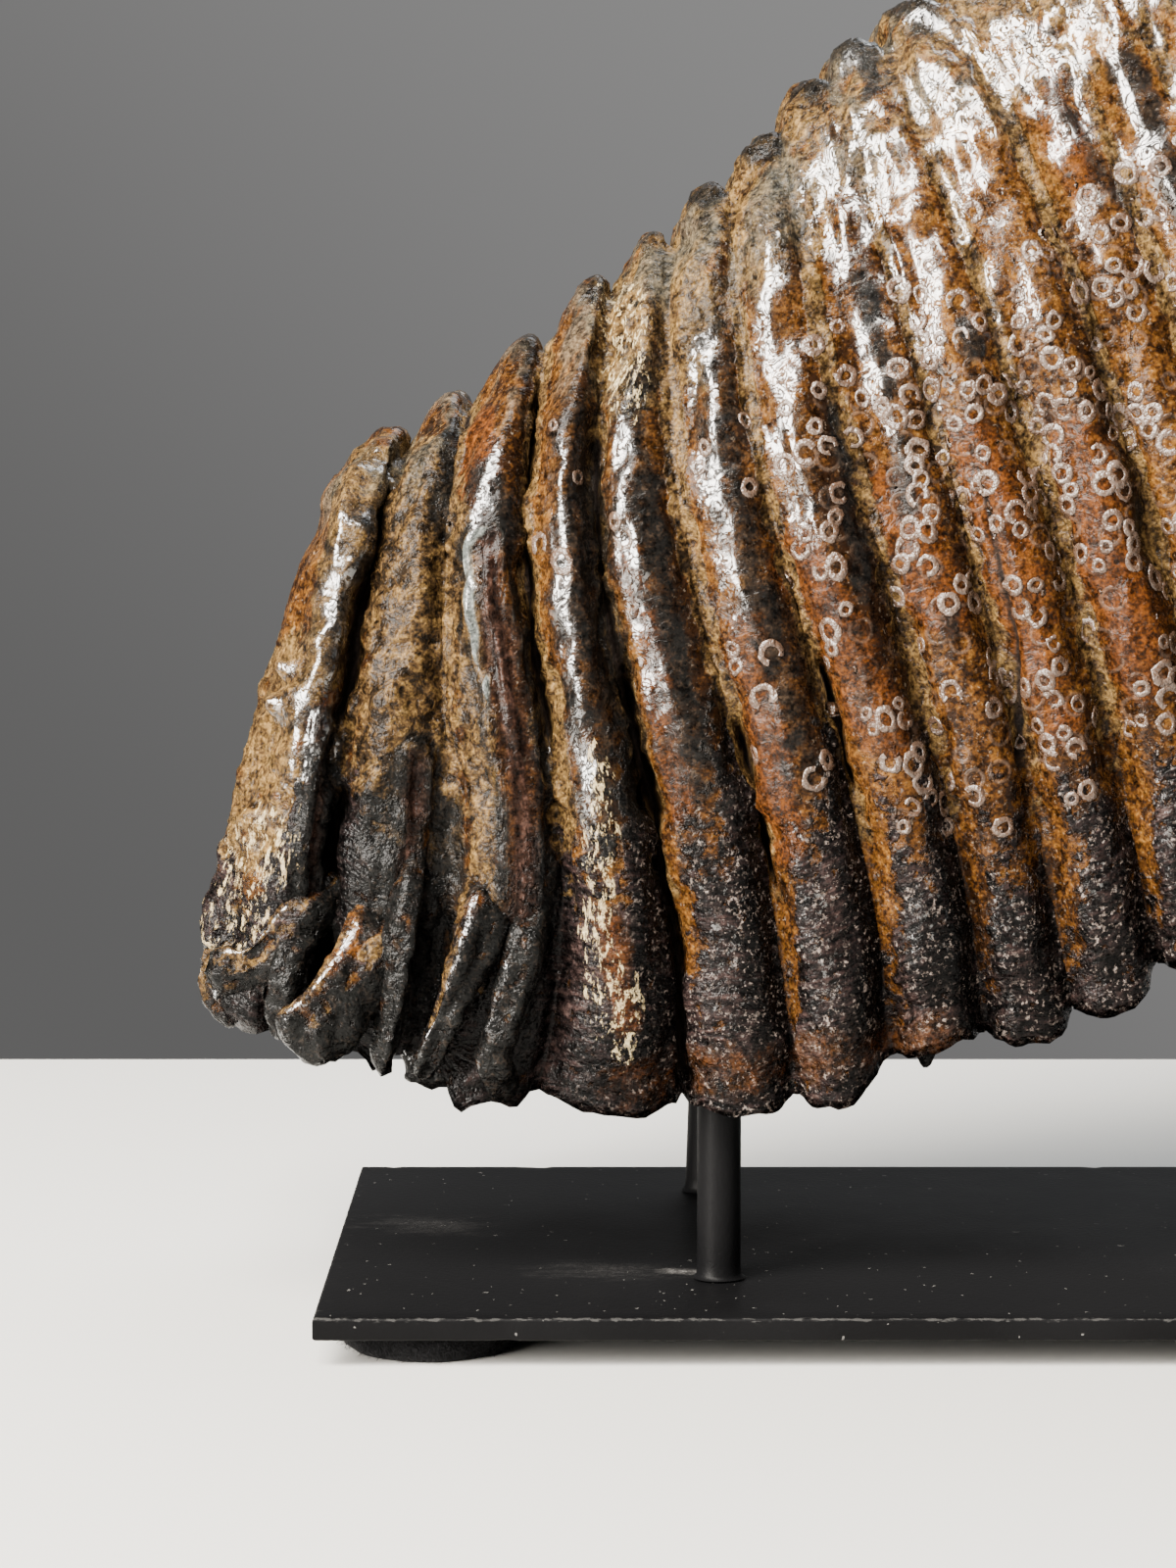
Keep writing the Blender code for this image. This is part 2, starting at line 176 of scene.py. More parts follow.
TIP_MARKS = (
    (7.05, 1.02, 7.1, 1.0, 0.0028, 1.0), (8.15, 1.02, 8.2, 1.0, 0.0026, 1.0),
    (10.05, 1.02, 10.1, 0.99, 0.0028, 1.0), (6.05, 1.02, 5.98, 1.01, 0.0022, 1.0),
    (4.18, 1.01, 4.1, 1.0, 0.0015, 0.8), (5.1, 1.02, 5.0, 1.01, 0.0014, 0.7),
    (9.12, 1.02, 9.12, 1.0, 0.0026, 1.0), (3.18, 1.0, 3.22, 0.99, 0.0014, 0.8),
)
RUST_MARKS = (
    (4.62, 0.99, 4.45, 0.975, 0.0016, 1.0), (5.8, 0.98, 5.8, 0.96, 0.0014, 1.0),
    (5.88, 0.54, 5.75, 0.3, 0.0024, 1.0), (6.65, 0.58, 7.0, 0.36, 0.0034, 1.0),
    (7.8, 0.6, 7.95, 0.46, 0.0034, 0.9), (8.85, 0.6, 8.95, 0.3, 0.0034, 0.8),
    (2.7, 0.93, 2.8, 0.77, 0.0022, 1.0), (1.0, 0.6, 0.95, 0.52, 0.0026, 0.9),
    (0.75, 0.47, 0.65, 0.42, 0.002, 0.9), (4.9, 0.66, 4.8, 0.36, 0.0017, 0.9),
    (9.9, 0.55, 9.95, 0.3, 0.0036, 0.8), (4.1, 0.04, 6.95, 0.015, 0.0034, 0.5),
    (3.95, 0.24, 4.1, 0.12, 0.002, 0.8),
)
CREAM_MARKS = (
    (0.76, 0.32, 0.62, 0.1, 0.0042, 0.6), (3.92, 0.36, 3.96, 0.12, 0.0022, 0.62),
    (3.98, 0.45, 4.0, 0.43, 0.0012, 1.0), (4.02, 0.41, 4.06, 0.36, 0.0013, 1.0),
    (3.92, 0.3, 3.9, 0.28, 0.001, 0.9), (4.08, 0.09, 4.1, 0.07, 0.001, 0.9),
    (3.74, 0.27, 3.78, 0.14, 0.0008, 0.9), (3.98, 0.22, 4.02, 0.14, 0.0009, 0.8),
    (3.84, 0.34, 3.8, 0.28, 0.0008, 0.8), (4.15, 0.17, 4.18, 0.12, 0.0007, 0.8),
    (4.7, 0.95, 4.92, 0.83, 0.003, 0.6),
)
# Plate, where across it, how widely and between which heights it is polished, and how strongly
POLISH = (
    (1, -0.03, 0.007, 0.42, 0.99, 1.0), (2, 0.0, 0.002, 0.5, 0.9, 0.0),
    (3, -0.1, 0.0024, 0.78, 0.94, 0.9), (4, -0.18, 0.003, 0.36, 0.82, 1.0),
    (5, -0.17, 0.0024, 0.47, 0.82, 1.0), (6, -0.1, 0.0028, 0.55, 0.85, 1.0),
    (7, -0.04, 0.0034, 0.57, 0.9, 1.0), (8, 0.0, 0.0046, 0.63, 0.97, 1.0),
    (9, 0.0, 0.0075, 0.66, 1.02, 1.0), (10, 0.0, 0.016, 0.68, 1.04, 1.0),
    (19, 0.0, 0.016, 0.62, 1.0, 0.9),
)
# Plate, and how far up it the dark lower end reaches
BURNT_LINE = (
    (0.5, 0.2), (0.85, 0.24), (1.0, 0.44), (1.3, 0.52), (1.5, 0.42), (1.7, 0.4), (2.0, 0.42),
    (2.3, 0.36), (2.5, 0.24), (2.8, 0.22), (3.5, 0.3), (4.8, 0.29), (7.0, 0.22), (8.5, 0.2),
    (10.0, 0.2), (19.5, 0.18),
)
CEMENT_MARKS = (
    (1.95, 0.9, 2.15, 0.55, 0.0058, 1.0), (2.05, 0.55, 2.0, 0.36, 0.0044, 1.0),
    (2.62, 0.8, 2.78, 0.45, 0.0024, 1.0), (2.8, 0.45, 2.86, 0.16, 0.0019, 1.0),
    (3.55, 0.55, 3.6, 0.28, 0.0019, 1.0), (0.55, 0.62, 0.6, 0.3, 0.005, 0.8),
    (4.6, 0.97, 4.95, 0.84, 0.004, 0.9), (5.5, 0.96, 5.7, 0.84, 0.004, 0.9),
    (6.5, 0.96, 6.8, 0.88, 0.003, 0.8), (1.75, 0.5, 1.78, 0.36, 0.0016, 0.8),
    (0.7, 0.14, 0.62, 0.07, 0.003, 0.8), (1.06, 0.96, 1.1, 0.62, 0.003, 0.9),
)
SCAR_MARKS = (
    (3.9, 0.82, 4.0, 0.7, 0.003, 0.5), (4.85, 0.72, 4.95, 0.5, 0.0034, 0.35),
    (5.9, 0.7, 5.9, 0.4, 0.004, 0.5), (2.8, 0.72, 2.85, 0.7, 0.0014, 0.5),
)
# Kinds of scar: sweep of the ring in degrees, share of the full radius, stretch
SCAR_RINGS = (
    (360.0, 1.0, 1.0), (360.0, 0.62, 1.1), (360.0, 0.86, 1.12), (360.0, 0.74, 1.0), (275.0, 0.95, 1.0),
)
CRACK = ((8.85, 0.57), (8.78, 0.49), (8.7, 0.41), (8.52, 0.33), (8.45, 0.26))

# Torn ends under the rear plates: points along the middle in mm (x, y, z), width, thickness
# and how much brown is painted on the side that faces up and back; the other side is painted darker
TORN_ENDS = (
    (((-86.5, -29, 60), (-91.5, -35.5, 54), (-96.5, -38, 48), (-102, -37, 40.8)), 12.5, 8.5, 1),
    (((-85.6, -31.5, 72), (-88, -38, 59), (-89.6, -38, 48), (-91.4, -35.5, 38)), 5, 5.5, 0.3),
    (((-76, -32, 70), (-77.8, -38.8, 58), (-82.4, -39.2, 47.5), (-85.8, -36, 37.4)), 6.5, 5, 0.8),
    (((-69, -31.5, 68), (-70.6, -38, 57), (-73.4, -37.8, 47), (-75.6, -36.5, 41),
      (-74.4, -33.5, 33.4)), 6, 5, 0.3),
    (((-80, -26, 54), (-82, -29, 46), (-82.5, -29, 39.5), (-82.8, -28, 35.6)), 15, 9, 0.1),
    (((-97, -28, 64), (-103, -32, 57.5), (-109.5, -31.5, 51.5), (-116.8, -27.5, 51)), 8, 5, 1),
    (((-112, -25, 58), (-115.8, -26.5, 52), (-115.4, -27, 47.5), (-111.8, -27.5, 44)), 4.2, 2.4, 1),
    (((-106, -28, 60), (-109, -31, 53), (-109.4, -31, 48), (-107.6, -29.5, 44)), 4.5, 3.2, 0.4),
    (((-101, -30, 60), (-104.2, -34, 54), (-105.2, -34, 49), (-106.4, -32, 43)), 5.5, 4, 0.3),
    (((-97, -10, 56), (-101, -11, 48), (-104, -12, 42), (-106, -12, 38.5)), 9, 4.6, 0.4),
    (((-84, 8, 52), (-87, 8, 45), (-89, 9, 39), (-90, 9, 35)), 9, 4.4, 0.4),
    (((-97, 28, 62), (-102, 33, 54), (-106, 34, 47), (-109, 31, 43)), 10, 6, 0.9),
    (((-85, 34, 64), (-88.5, 38, 52), (-91, 37.5, 44), (-93, 34, 37.5)), 7, 5, 0.5),
    (((-71, 35, 63), (-73.5, 38.5, 50), (-77, 38, 42), (-78, 34.5, 35.5)), 7.5, 5, 0.6),
    (((-15.8, -23, 52), (-15.5, -24.5, 46), (-15, -25, 41), (-14.7, -25, 37.2)), 3.6, 2.2, 0),
)

# Where the masks of the finish lie: plates, then heights
STAINED_PLATES, STAINED_HEIGHTS = (3.4, 3.9, 6.2, 7.9), (0.28, 0.40, 0.84, 0.93)
SCARRED_PLATES, SCARRED_HEIGHTS = (5.6, 7.2), (0.16, 0.30, 0.66, 0.84)
UPPER_PLATES, UPPER_HEIGHTS = (3.5, 5.5), (0.74, 0.96)
PALE_PLATES, PALE_HEIGHTS = (7.0, 7.7, 9.6, 10.4), (0.80, 0.64)
LUMPY_PLATES, LUMPY_HEIGHTS = (6.5, 8.5), (0.55, 0.70)
LUMPY_REAR_PLATES, LUMPY_REAR_HEIGHTS = (1.4, 1.2), (0.38, 0.50)
GLOSSY_PLATES, GLOSSY_HEIGHTS = (4.0, 4.8), (0.04, 0.14)
TORN_PLATES, TORN_HEIGHTS = (3.7, 3.1), (0.20, 0.04)
# How far worn bands wander, how far apart the flutes of an end are, how high the line at the rim is
BAND_WANDER, FLUTE_PITCH, RIM_LINE_HEIGHT = 0.03, 0.0115, 0.0062

# Dusty smears on the steel plate: middle, reach, slant, strength
PLATE_SMEARS = (
    ((-0.0865, 0.0066, 0.0071), (0.014, 0.0085, 0.003), -0.34, 0.036),
    ((-0.06, -0.0225, 0.0071), (0.015, 0.007, 0.003), -0.12, 0.022),
    ((-0.0495, -0.0233, 0.0071), (0.005, 0.0024, 0.003), -0.1, 0.16),
    ((0.042, 0.012, 0.0071), (0.014, 0.005, 0.003), 0.3, 0.045),
)

# Rings across one plate, points up a flank, points over the top (and under the base)
STATIONS, GROOVE_PACKING = 19, 0.45
FLANK_POINTS, TOP_POINTS = 82, 42
TONGUE_STEPS, TONGUE_POINTS = 40, 26
ROD_POINTS, PAD_POINTS = 48, 72
LEAST_WIDTH = 0.004
# Worn faces: where their enamel bands run beside a crest, how wide they are, how dished it is
TOP_BAND_AT, TOP_BAND_WIDTH, WORN_DISH = 0.31, 0.085, 0.0004
TIP_DOME, BASE_CAVITY = 0.0010, 0.0045
LOOP_ROUND = 0.0022
NODULE_REACH, NODULE_SIDE = 0.0014, -0.012
PATTERN_PITCH = 0.0126
# Depths and reaches of the fine relief, in metres
STREAK_DEPTH, CRACK_DEPTH, PIT_DEPTH, CHAR_LUMPS = 0.00022, 0.0007, 0.0005, 0.0003
GROOVE_LUMPS, UPPER_LUMPS, RIM_LINE_DEPTH = 0.00045, 0.00042, 0.0007
TORN_DEPTH, FLUTE_DEPTH, UNDERSIDE_DEPTH = 0.0020, 0.0009, 0.0012
RAGGED_REACH, TORN_REACH = 0.0006, 0.0032
MARK_WANDER, END_ROUGHNESS, END_GRAIN, FELT_ROUGHNESS = 0.0009, 0.0009, 0.00035, 0.00022
NICK_DEPTH, FIBRE_RADIUS, SCAR_SINK, TABLE_CLEARANCE = 0.00018, 0.000035, 0.00005, 0.00003
FIRST_FUZZ_SEED = 11
# Torn ends: where they round off, how they taper, twist and wave, and how often they are smoothed
BLUNT_FROM, TONGUE_TAPER, TONGUE_TWIST, TONGUE_WAVE, SMOOTHINGS = 0.84, 0.30, 0.45, 0.10, 12
# A felt pad's outline: share of its radius, share of its height
PAD_OUTLINE = (
    (0.35, 0.0), (0.80, 0.0), (0.955, 0.0), (0.985, 0.06), (0.997, 0.22), (1.0, 0.45),
    (0.998, 0.70), (0.985, 0.88), (0.95, 0.975), (0.80, 1.0), (0.35, 1.0),
)

# --- the finish ---

# Ragged patches: size of their edge's grain, raggedness, softness
PATCHES = {
    "rust": (0.0034, 0.8, 0.34), "cement": (0.0030, 0.9, 0.16), "burnt": (0.0022, 1.5, 0.14),
    "charcoal": (0.0022, 1.1, 0.42), "cream": (0.0012, 1.4, 0.10), "polish": (0.0013, 1.1, 0.12),
}
# Tones of each stain, from dark to light, beside those that a user may change
# The pale speckle tone also paints the enamel's fine sparkle, and the pale speck tone also paints glints on
# the dark lower ends
LIGHT_OCHRE, PALE_SPECKLE_AND_SPARKLE, PALE_SPECK_AND_GLINT = (0.200, 0.112, 0.044), (0.190, 0.150, 0.112), (0.165, 0.132, 0.115)
CEMENT_TONES = (0.010, 0.0065, 0.0038), (0.046, 0.026, 0.0105), (0.200, 0.126, 0.049)
BURNT_TONES = (0.0014, 0.0012, 0.0012), (0.0080, 0.0056, 0.0054), (0.070, 0.044, 0.038)
DENTINE_TONES = (0.005, 0.0034, 0.003), (0.017, 0.0085, 0.006), (0.062, 0.033, 0.025)
ENAMEL_TONES = (0.006, 0.0062, 0.006), (0.030, 0.033, 0.031), (0.26, 0.275, 0.255)
GREY_TONES = (0.020, 0.019, 0.015), (0.075, 0.070, 0.052)
# The gap tone is painted shade inside the gaps and the crack
CHAR_BROWN, FAINT_RING, GAP_SHADE = (0.018, 0.014, 0.011), (0.105, 0.070, 0.050), (0.010, 0.006, 0.004)
CREAM_SHADE = (0.15, 0.105, 0.055)
SCAR_TONES = (0.050, 0.031, 0.021), (0.036, 0.017, 0.008), (0.030, 0.014, 0.006)
BLACK, WHITE = (0.0, 0.0, 0.0), (1.0, 1.0, 1.0)
DUST, DUST_SPECK = (0.30, 0.29, 0.28), (0.35, 0.34, 0.32)


# --- what a user may change ---


def length(name, description, default):
    return FloatProperty(name=name, description=description, default=default, unit="LENGTH", precision=5)


def power(name, description, default):
    return FloatProperty(name=name, description=description, default=default, unit="POWER")


def density(description, default):
    return FloatProperty(name="Number per square metre", description=description, default=default, min=0.0)


def colour(name, description, default):
    return FloatVectorProperty(
        name=name, description=description, default=default, subtype="COLOR", size=3, min=0.0, max=1.0
    )


class MolarSizes(bpy.types.PropertyGroup):
    half_width: length("Half width", "Half the crown's width at its widest", 0.0425)
    groove_depth: length("Groove depth", "Depth of the grooves between two plates", 0.0046)
    tip_notch: length("Tip notch", "Depth of the notch between two unworn tips", 0.0046)
    knob_height: length("Knob height", "Height of the rounded knobs along an unworn tip", 0.0016)
    base_hollow: length("Base hollow", "How far the base is hollowed between its rims", 0.0060)
    enamel_rise: length("Enamel rise", "How far worn enamel stands above dentine and cement", 0.0009)
    wave_height: length("Wave height", "Height of the broad unevenness of the surface", 0.00050)
    lump_height: length("Lump height", "Height of the lumps a few millimetres wide", 0.00040)
    grain_height: length("Grain height", "Height of the coarse grain in the mesh", 0.00019)
    cement: colour("Cement", "Tan cement in the grooves", (0.111, 0.065, 0.0215))
    ochre: colour("Ochre", "Light tone of the stained enamel", (0.125, 0.056, 0.0125))
    amber: colour("Amber brown", "Middle tone of the stained enamel", (0.064, 0.0250, 0.0056))
    umber: colour("Umber", "Dark tone of the stained enamel", (0.013, 0.0058, 0.0027))
    rust: colour("Rust", "Red stains", (0.100, 0.0290, 0.0060))
    charcoal: colour("Charcoal", "Black glossy patches", (0.0056, 0.0057, 0.0054))
    burnt: colour("Burnt purple", "Lower ends of the plates", (0.0215, 0.0132, 0.0120))
    enamel: colour("Grey enamel", "Bare enamel bands", (0.070, 0.077, 0.071))
    cream: colour("Cream", "Pale flecks", (0.30, 0.245, 0.14))


class ScarSizes(bpy.types.PropertyGroup):
    density: density("How densely the scars cover the flanks", 420000.0)
    spacing: length("Spacing", "Least distance between the middles of two scars", 0.0021)
    radius: length("Ring radius", "Radius of the largest scar's crest", 0.00130)
    width: length("Ring width", "Width of a scar's raised wall", 0.00095)
    height: length("Ring height", "Height of a scar's raised wall", 0.00017)
    seed: IntProperty(name="Seed", description="Which scatter of scars is made", default=7, min=0)
    shade: colour("Scar", "Pale wall of a scar", (0.074, 0.052, 0.040))


class StandSizes(bpy.types.PropertyGroup):
    edge_round: length("Edge rounding", "Rounding of the steel plate's edges", 0.00055)
    rod_diameter: length("Rod diameter", "Diameter of the four rods", 0.0062)
    foot_bead: length("Foot bead", "Width of the paint bead at a rod's foot", 0.0006)
    steel: colour("Black paint", "Satin black of plate and rods", (0.0022, 0.0022, 0.0024))
    # Pale primer along worn edges; on the plate's front upper edge it also paints a highlight
    bare_edge_and_highlight: colour("Worn edge", "Grey primer that shows along worn edges", (0.050, 0.049, 0.047))
    fuzz_length: length("Fuzz length", "Length of the fibres round a felt pad", 0.0012)
    fuzz_density: density("How many fibres stand on the rim of a felt pad", 2600000.0)
    felt: colour("Felt", "Black felt", (0.0030, 0.0030, 0.0033))


class StageLook(bpy.types.PropertyGroup):
    floor: colour("Floor", "Pale floor", (0.47, 0.466, 0.447))
    backdrop: colour("Backdrop", "Grey behind the floor, at its brightest", (0.300, 0.297, 0.295))
    room: colour("Room", "Dim grey in front of the floor", (0.034, 0.034, 0.035))
    key_power: power("Key light", "Power of the main soft light", 134.0)
    upper_power: power("Upper light", "Power of the light high in front", 36.0)
    fill_power: power("Fill light", "Power of the weak soft light", 0.8)
    top_power: power("Top light", "Power of the light above", 20.0)
    lens: FloatProperty(name="Lens", description="Focal length", default=77.0, subtype="DISTANCE_CAMERA")


# --- numbers ---

# How a cell's whole numbers and a seed become one random word
CELL_PRIMES, SEED_PRIME, WORD = np.array([374761393, 668265263, 1103515245]), 97531357, 0xFFFFFFFF
MIXING_STEPS = ((13, 1274126177), (16, 1103515245))


def ease(low, high, value):
    share = np.clip((value - low) / (high - low), 0.0, 1.0)
    return share * share * (3.0 - 2.0 * share)


def span(low, from_here, to_here, high, value):
    """1 between the two inner values, falling to 0 at low and at high."""
    return ease(low, from_here, value) * ease(high, to_here, value)


def bell(value, width):
    return np.exp(-(value / width) ** 2)


def tinted(colour, share):
    return tuple(share * c for c in colour)


def bumps(place, size, seed):
    """Smooth noise between -1 and 1 over places (n, 3), with bumps about size across."""
    spot = place / size
    cell = np.floor(spot)
    share = spot - cell
    share = share * share * share * (share * (share * 6.0 - 15.0) + 10.0)
    cell = cell.astype(np.int64)
    total = np.zeros(len(place))
    for corner in itertools.product((0, 1), repeat=3):
        at = cell + np.array(corner)
        key = (at @ CELL_PRIMES + seed * SEED_PRIME) & WORD
        for shift, prime in MIXING_STEPS:
            key = ((key ^ (key >> shift)) * prime) & WORD
        weight = np.prod(np.where(np.array(corner) == 1, share, 1.0 - share), axis=1)
        total += weight * ((key >> 8) / 8388607.5 - 1.0)
    return total


def layered(place, size, seed, layers=3, fade=0.5):
    total, height = np.zeros(len(place)), 1.0
    for layer in range(layers):
        total += height * bumps(place, size * 0.5 ** layer, seed + 31 * layer)
        height *= fade
    return total


def walk(start, heading, turn, step, count):
    """Points one step apart along a line that turns a little at each step."""
    points = []
    x, z = start
    for _ in range(count):
        x += step * math.cos(heading)
        z += step * math.sin(heading)
        heading += turn
        points.append((x, z))
    return points


def all_plate_lines():
    last = REAR_PLATE_LINES[-1]
    bases = walk(last[0:2], BASE_HEADING, BASE_TURN, BASE_STEP, FRONT_PLATES)
    tips = walk(last[2:4], TIP_HEADING, TIP_TURN, TIP_STEP, FRONT_PLATES)
    return np.array(REAR_PLATE_LINES + tuple((*b, *t, last[4], last[5]) for b, t in zip(bases, tips)))


PLATE_LINES = all_plate_lines()


def plate_line(plate):
    """The six numbers of the line at each plate number, on a smooth curve through the plates."""
    last = PLATE_COUNT - 1
    place = np.asarray(plate, float) - 1.0
    low = np.clip(np.floor(place), 0, last - 1).astype(int)
    share = (place - low)[..., None]
    before, here = PLATE_LINES[np.maximum(low - 1, 0)], PLATE_LINES[low]
    after, beyond = PLATE_LINES[low + 1], PLATE_LINES[np.minimum(low + 2, last)]
    curve = 0.5 * (
        2.0 * here
        + (after - before) * share
        + (2.0 * before - 5.0 * here + 4.0 * after - beyond) * share ** 2
        + (3.0 * here - before - 3.0 * after + beyond) * share ** 3
    )
    outside = (share < 0.0) | (share > 1.0)
    return np.where(outside, here + (after - here) * share, curve)


def crown_place(plate, height):
    """X and Z on a plate's centre line."""
    base_x, base_z, tip_x, tip_z, bow, sway = np.moveaxis(plate_line(plate), -1, 0)
    along_x, along_z = tip_x - base_x, tip_z - base_z
    size = np.hypot(along_x, along_z)
    bulge = bow * np.sin(np.pi * height) + sway * np.sin(2.0 * np.pi * height)
    return (
        base_x + along_x * height + along_z / size * bulge,
        base_z + along_z * height - along_x / size * bulge,
    )


def plate_length(plate):
    line = plate_line(plate)
    return np.hypot(line[..., 2] - line[..., 0], line[..., 3] - line[..., 1])


def plate_pitch(plate, height):
    """Distance between neighbouring plates at this height."""
    rear, front = crown_place(plate - 0.25, height), crown_place(plate + 0.25, height)
    return 2.0 * np.hypot(front[0] - rear[0], front[1] - rear[1])


def wear(plate):
    return ease(WEAR_FROM, WEAR_TO, plate)


def crest_of(plate):
    return np.clip(np.floor(plate + 0.5), 1, PLATE_COUNT)


def ridge_fall(plate):
    """0 on a plate's crest, 1 in the groove between two plates, whose floor is rounded."""
    outermost = (plate < 1.0) | (plate > PLATE_COUNT)
    aside = 2.0 * np.abs(plate - crest_of(plate))
    fall = aside ** GROOVE_SHARPNESS * (1.0 - GROOVE_FLOOR * ease(0.8, 1.0, aside)) / (1.0 - GROOVE_FLOOR)
    return fall * np.where(outermost, END_FALL, 1.0)


def width_shares(height):
    shares, widths = zip(*WIDTH_PROFILE)
    at = np.linspace(-0.3, 1.3, 641)
    raw = np.interp(at, shares, widths)
    kernel = np.exp(-0.5 * (np.linspace(-3.0, 3.0, 49)) ** 2)
    soft = np.convolve(np.pad(raw, 24, mode="edge"), kernel / kernel.sum(), mode="valid")
    return np.interp(height, at, soft)


def half_width(sizes, plate, height):
    rear = 1.0 - REAR_NARROWING * np.exp(-(plate - 0.5) / REAR_NARROWING_PLATES)
    front = 1.0 - FRONT_NARROWING * ease(FRONT_NARROWING_FROM, PLATE_COUNT + 0.5, plate)
    left = height * (1.0 - WORN_AWAY * wear(plate))
    uneven = WIDTH_UNEVENNESS * np.sin(2.1 * crest_of(plate)) * (1.0 - ridge_fall(plate))
    return sizes.half_width * rear * front * width_shares(left) + uneven


def base_slot(plate):
    rear = 1.0 - ease(RIM_FROM - SLOT_BLEND, RIM_FROM, plate)
    front = ease(RIM_TO, RIM_TO + SLOT_BLEND, plate)
    return RIM_SLOT + (REAR_SLOT - RIM_SLOT) * rear + (FRONT_SLOT - RIM_SLOT) * front


def root_stump(plate):
    start = ease(ROOT_FROM - SLOT_BLEND, ROOT_FROM + SLOT_BLEND, plate)
    return start * (1.0 - ease(ROOT_TO - SLOT_BLEND, ROOT_TO + SLOT_BLEND, plate))


def groove_depth(sizes, plate, height):
    cement = ease(*CEMENTED_PLATES, plate) * ease(*CEMENTED_HEIGHTS, height)
    filled = FILLED_SHARE * ease(*FILLED_PLATES, plate) * ease(*FILLED_HEIGHTS, height)
    return (sizes.groove_depth + (CEMENTED_DEPTH - sizes.groove_depth) * cement) * (1.0 - filled)


def rear_facet(plate, height):
    """Depth of the flat facet that runs down the rear half of each ridge."""
    away = np.maximum(crest_of(plate) - plate, 0.0) * plate_pitch(plate, height)
    window = span(*FACET_PLATES, plate) * span(*FACET_HEIGHTS, height)
    return FACET_SLOPE * np.maximum(away - FACET_START, 0.0) * window


def open_gap(plate, height):
    """Depth of the narrow gaps, and 0 to 1 how far inside one a place is."""
    pitch = plate_pitch(plate, height)
    depth, inside = np.zeros(pitch.shape), np.zeros(pitch.shape)
    for after, low, high, deep, half in OPEN_GAPS:
        wander = 0.35 * half * np.sin(height * 37.0 + after * 5.0)
        across = np.abs((plate - after) * pitch + wander)
        middle, reach = 0.5 * (low + high), 0.5 * (high - low)
        window = 1.0 - ease(0.80, 1.10, np.abs(height - middle) / reach)
        share = ease(1.35 * half, 0.45 * half, across) * window
        depth = np.maximum(depth, deep * share)
        inside = np.maximum(inside, share)
    return depth, inside


def marks(points, strokes, seed):
    """The strongest share of any mark at each place (n, 3) on a flank."""
    here = points[:, [0, 2]]
    loose = np.stack([bumps(points, 0.004, seed), bumps(points, 0.004, seed + 1)], axis=1) * MARK_WANDER
    result = np.zeros(len(points))
    for plate_a, height_a, plate_b, height_b, radius, strength in strokes:
        start = np.array(crown_place(plate_a, height_a))
        along = np.array(crown_place(plate_b, height_b)) - start
        offset = here + loose - start
        share = np.clip(offset @ along / max(along @ along, 1e-12), 0.0, 1.0)
        away = np.linalg.norm(offset - share[:, None] * along, axis=1)
        result = np.maximum(result, strength * ease(1.7 * radius, 0.5 * radius, away))
    return result


def scattered_marks(seed, count, plates, heights, radii, reach):
    """Marks of one kind for the parts of the flanks that have no named ones."""
    chance, strokes = np.random.default_rng(seed), []
    for _ in range(count):
        plate = np.floor(chance.uniform(*plates) + 0.5) + chance.normal(0.0, 0.15)
        height = chance.uniform(*heights)
        strokes.append((
            plate, height, plate + chance.normal(0.0, 0.08), height - chance.uniform(*reach),
            chance.uniform(*radii), chance.uniform(0.7, 1.0),
        ))
    return strokes


# --- meshes ---


def drop_object(name):
    old = bpy.data.objects.get(name)
    if old:
        bpy.data.objects.remove(old, do_unlink=True)


def new_object(name, data):
    drop_object(name)
    made = bpy.data.objects.new(name, data)
    bpy.context.scene.collection.objects.link(made)
    return made


def new_piece(name, mesh, material):
    mesh.materials.clear()
    mesh.materials.append(material)
    return new_object(name, mesh)


def mesh_from(name, points, faces, **values):
    """A smooth mesh that carries the named values on its points."""
    mesh = bpy.data.meshes.new(name)
    mesh.from_pydata(points.tolist(), [], faces)
    mesh.update()
    for label, value in values.items():
        kind, field = ("FLOAT_VECTOR", "vector") if value.ndim == 2 else ("FLOAT", "value")
        layer = mesh.attributes.new(label, kind, "POINT")
        layer.data.foreach_set(field, value.astype(np.float32).ravel())
    mesh.shade_smooth()
    return mesh


def lengths_of(arrows):
    return np.linalg.norm(arrows, axis=1)


def corner_normals(points, faces):
    quads = np.array([face if len(face) == 4 else (*face, face[-1]) for face in faces])
    a, b, c, d = (points[quads[:, i]] for i in range(4))
    flat = np.cross(c - a, d - b)
    normals = np.zeros_like(points)
    for i in range(4):
        np.add.at(normals, quads[:, i], flat)
    return normals / np.maximum(lengths_of(normals), 1e-15)[:, None]


def ring_faces(rows, around, turned=False):
    """Faces between neighbouring rows of points, each of which runs once round a piece."""
    faces = []
    for start in range(0, (rows - 1) * around, around):
        for i in range(around):
            j, following = (i + 1) % around, start + around
            a, b, c, d = start + i, start + j, following + j, following + i
            faces.append((a, d, c, b) if turned else (a, b, c, d))
    return faces


def closed_faces(rows, around):
    last = (rows - 1) * around
    return [*ring_faces(rows, around), tuple(range(around))[::-1], tuple(range(last, last + around))]


def ring_plates():
    share = np.arange(STATIONS) / STATIONS - 0.5
    packed = share + GROOVE_PACKING * np.sin(2.0 * np.pi * share) / (2.0 * np.pi)
    plates = [plate + packed for plate in range(1, PLATE_COUNT + 1)]
    return np.concatenate([*plates, [PLATE_COUNT + 0.5]])


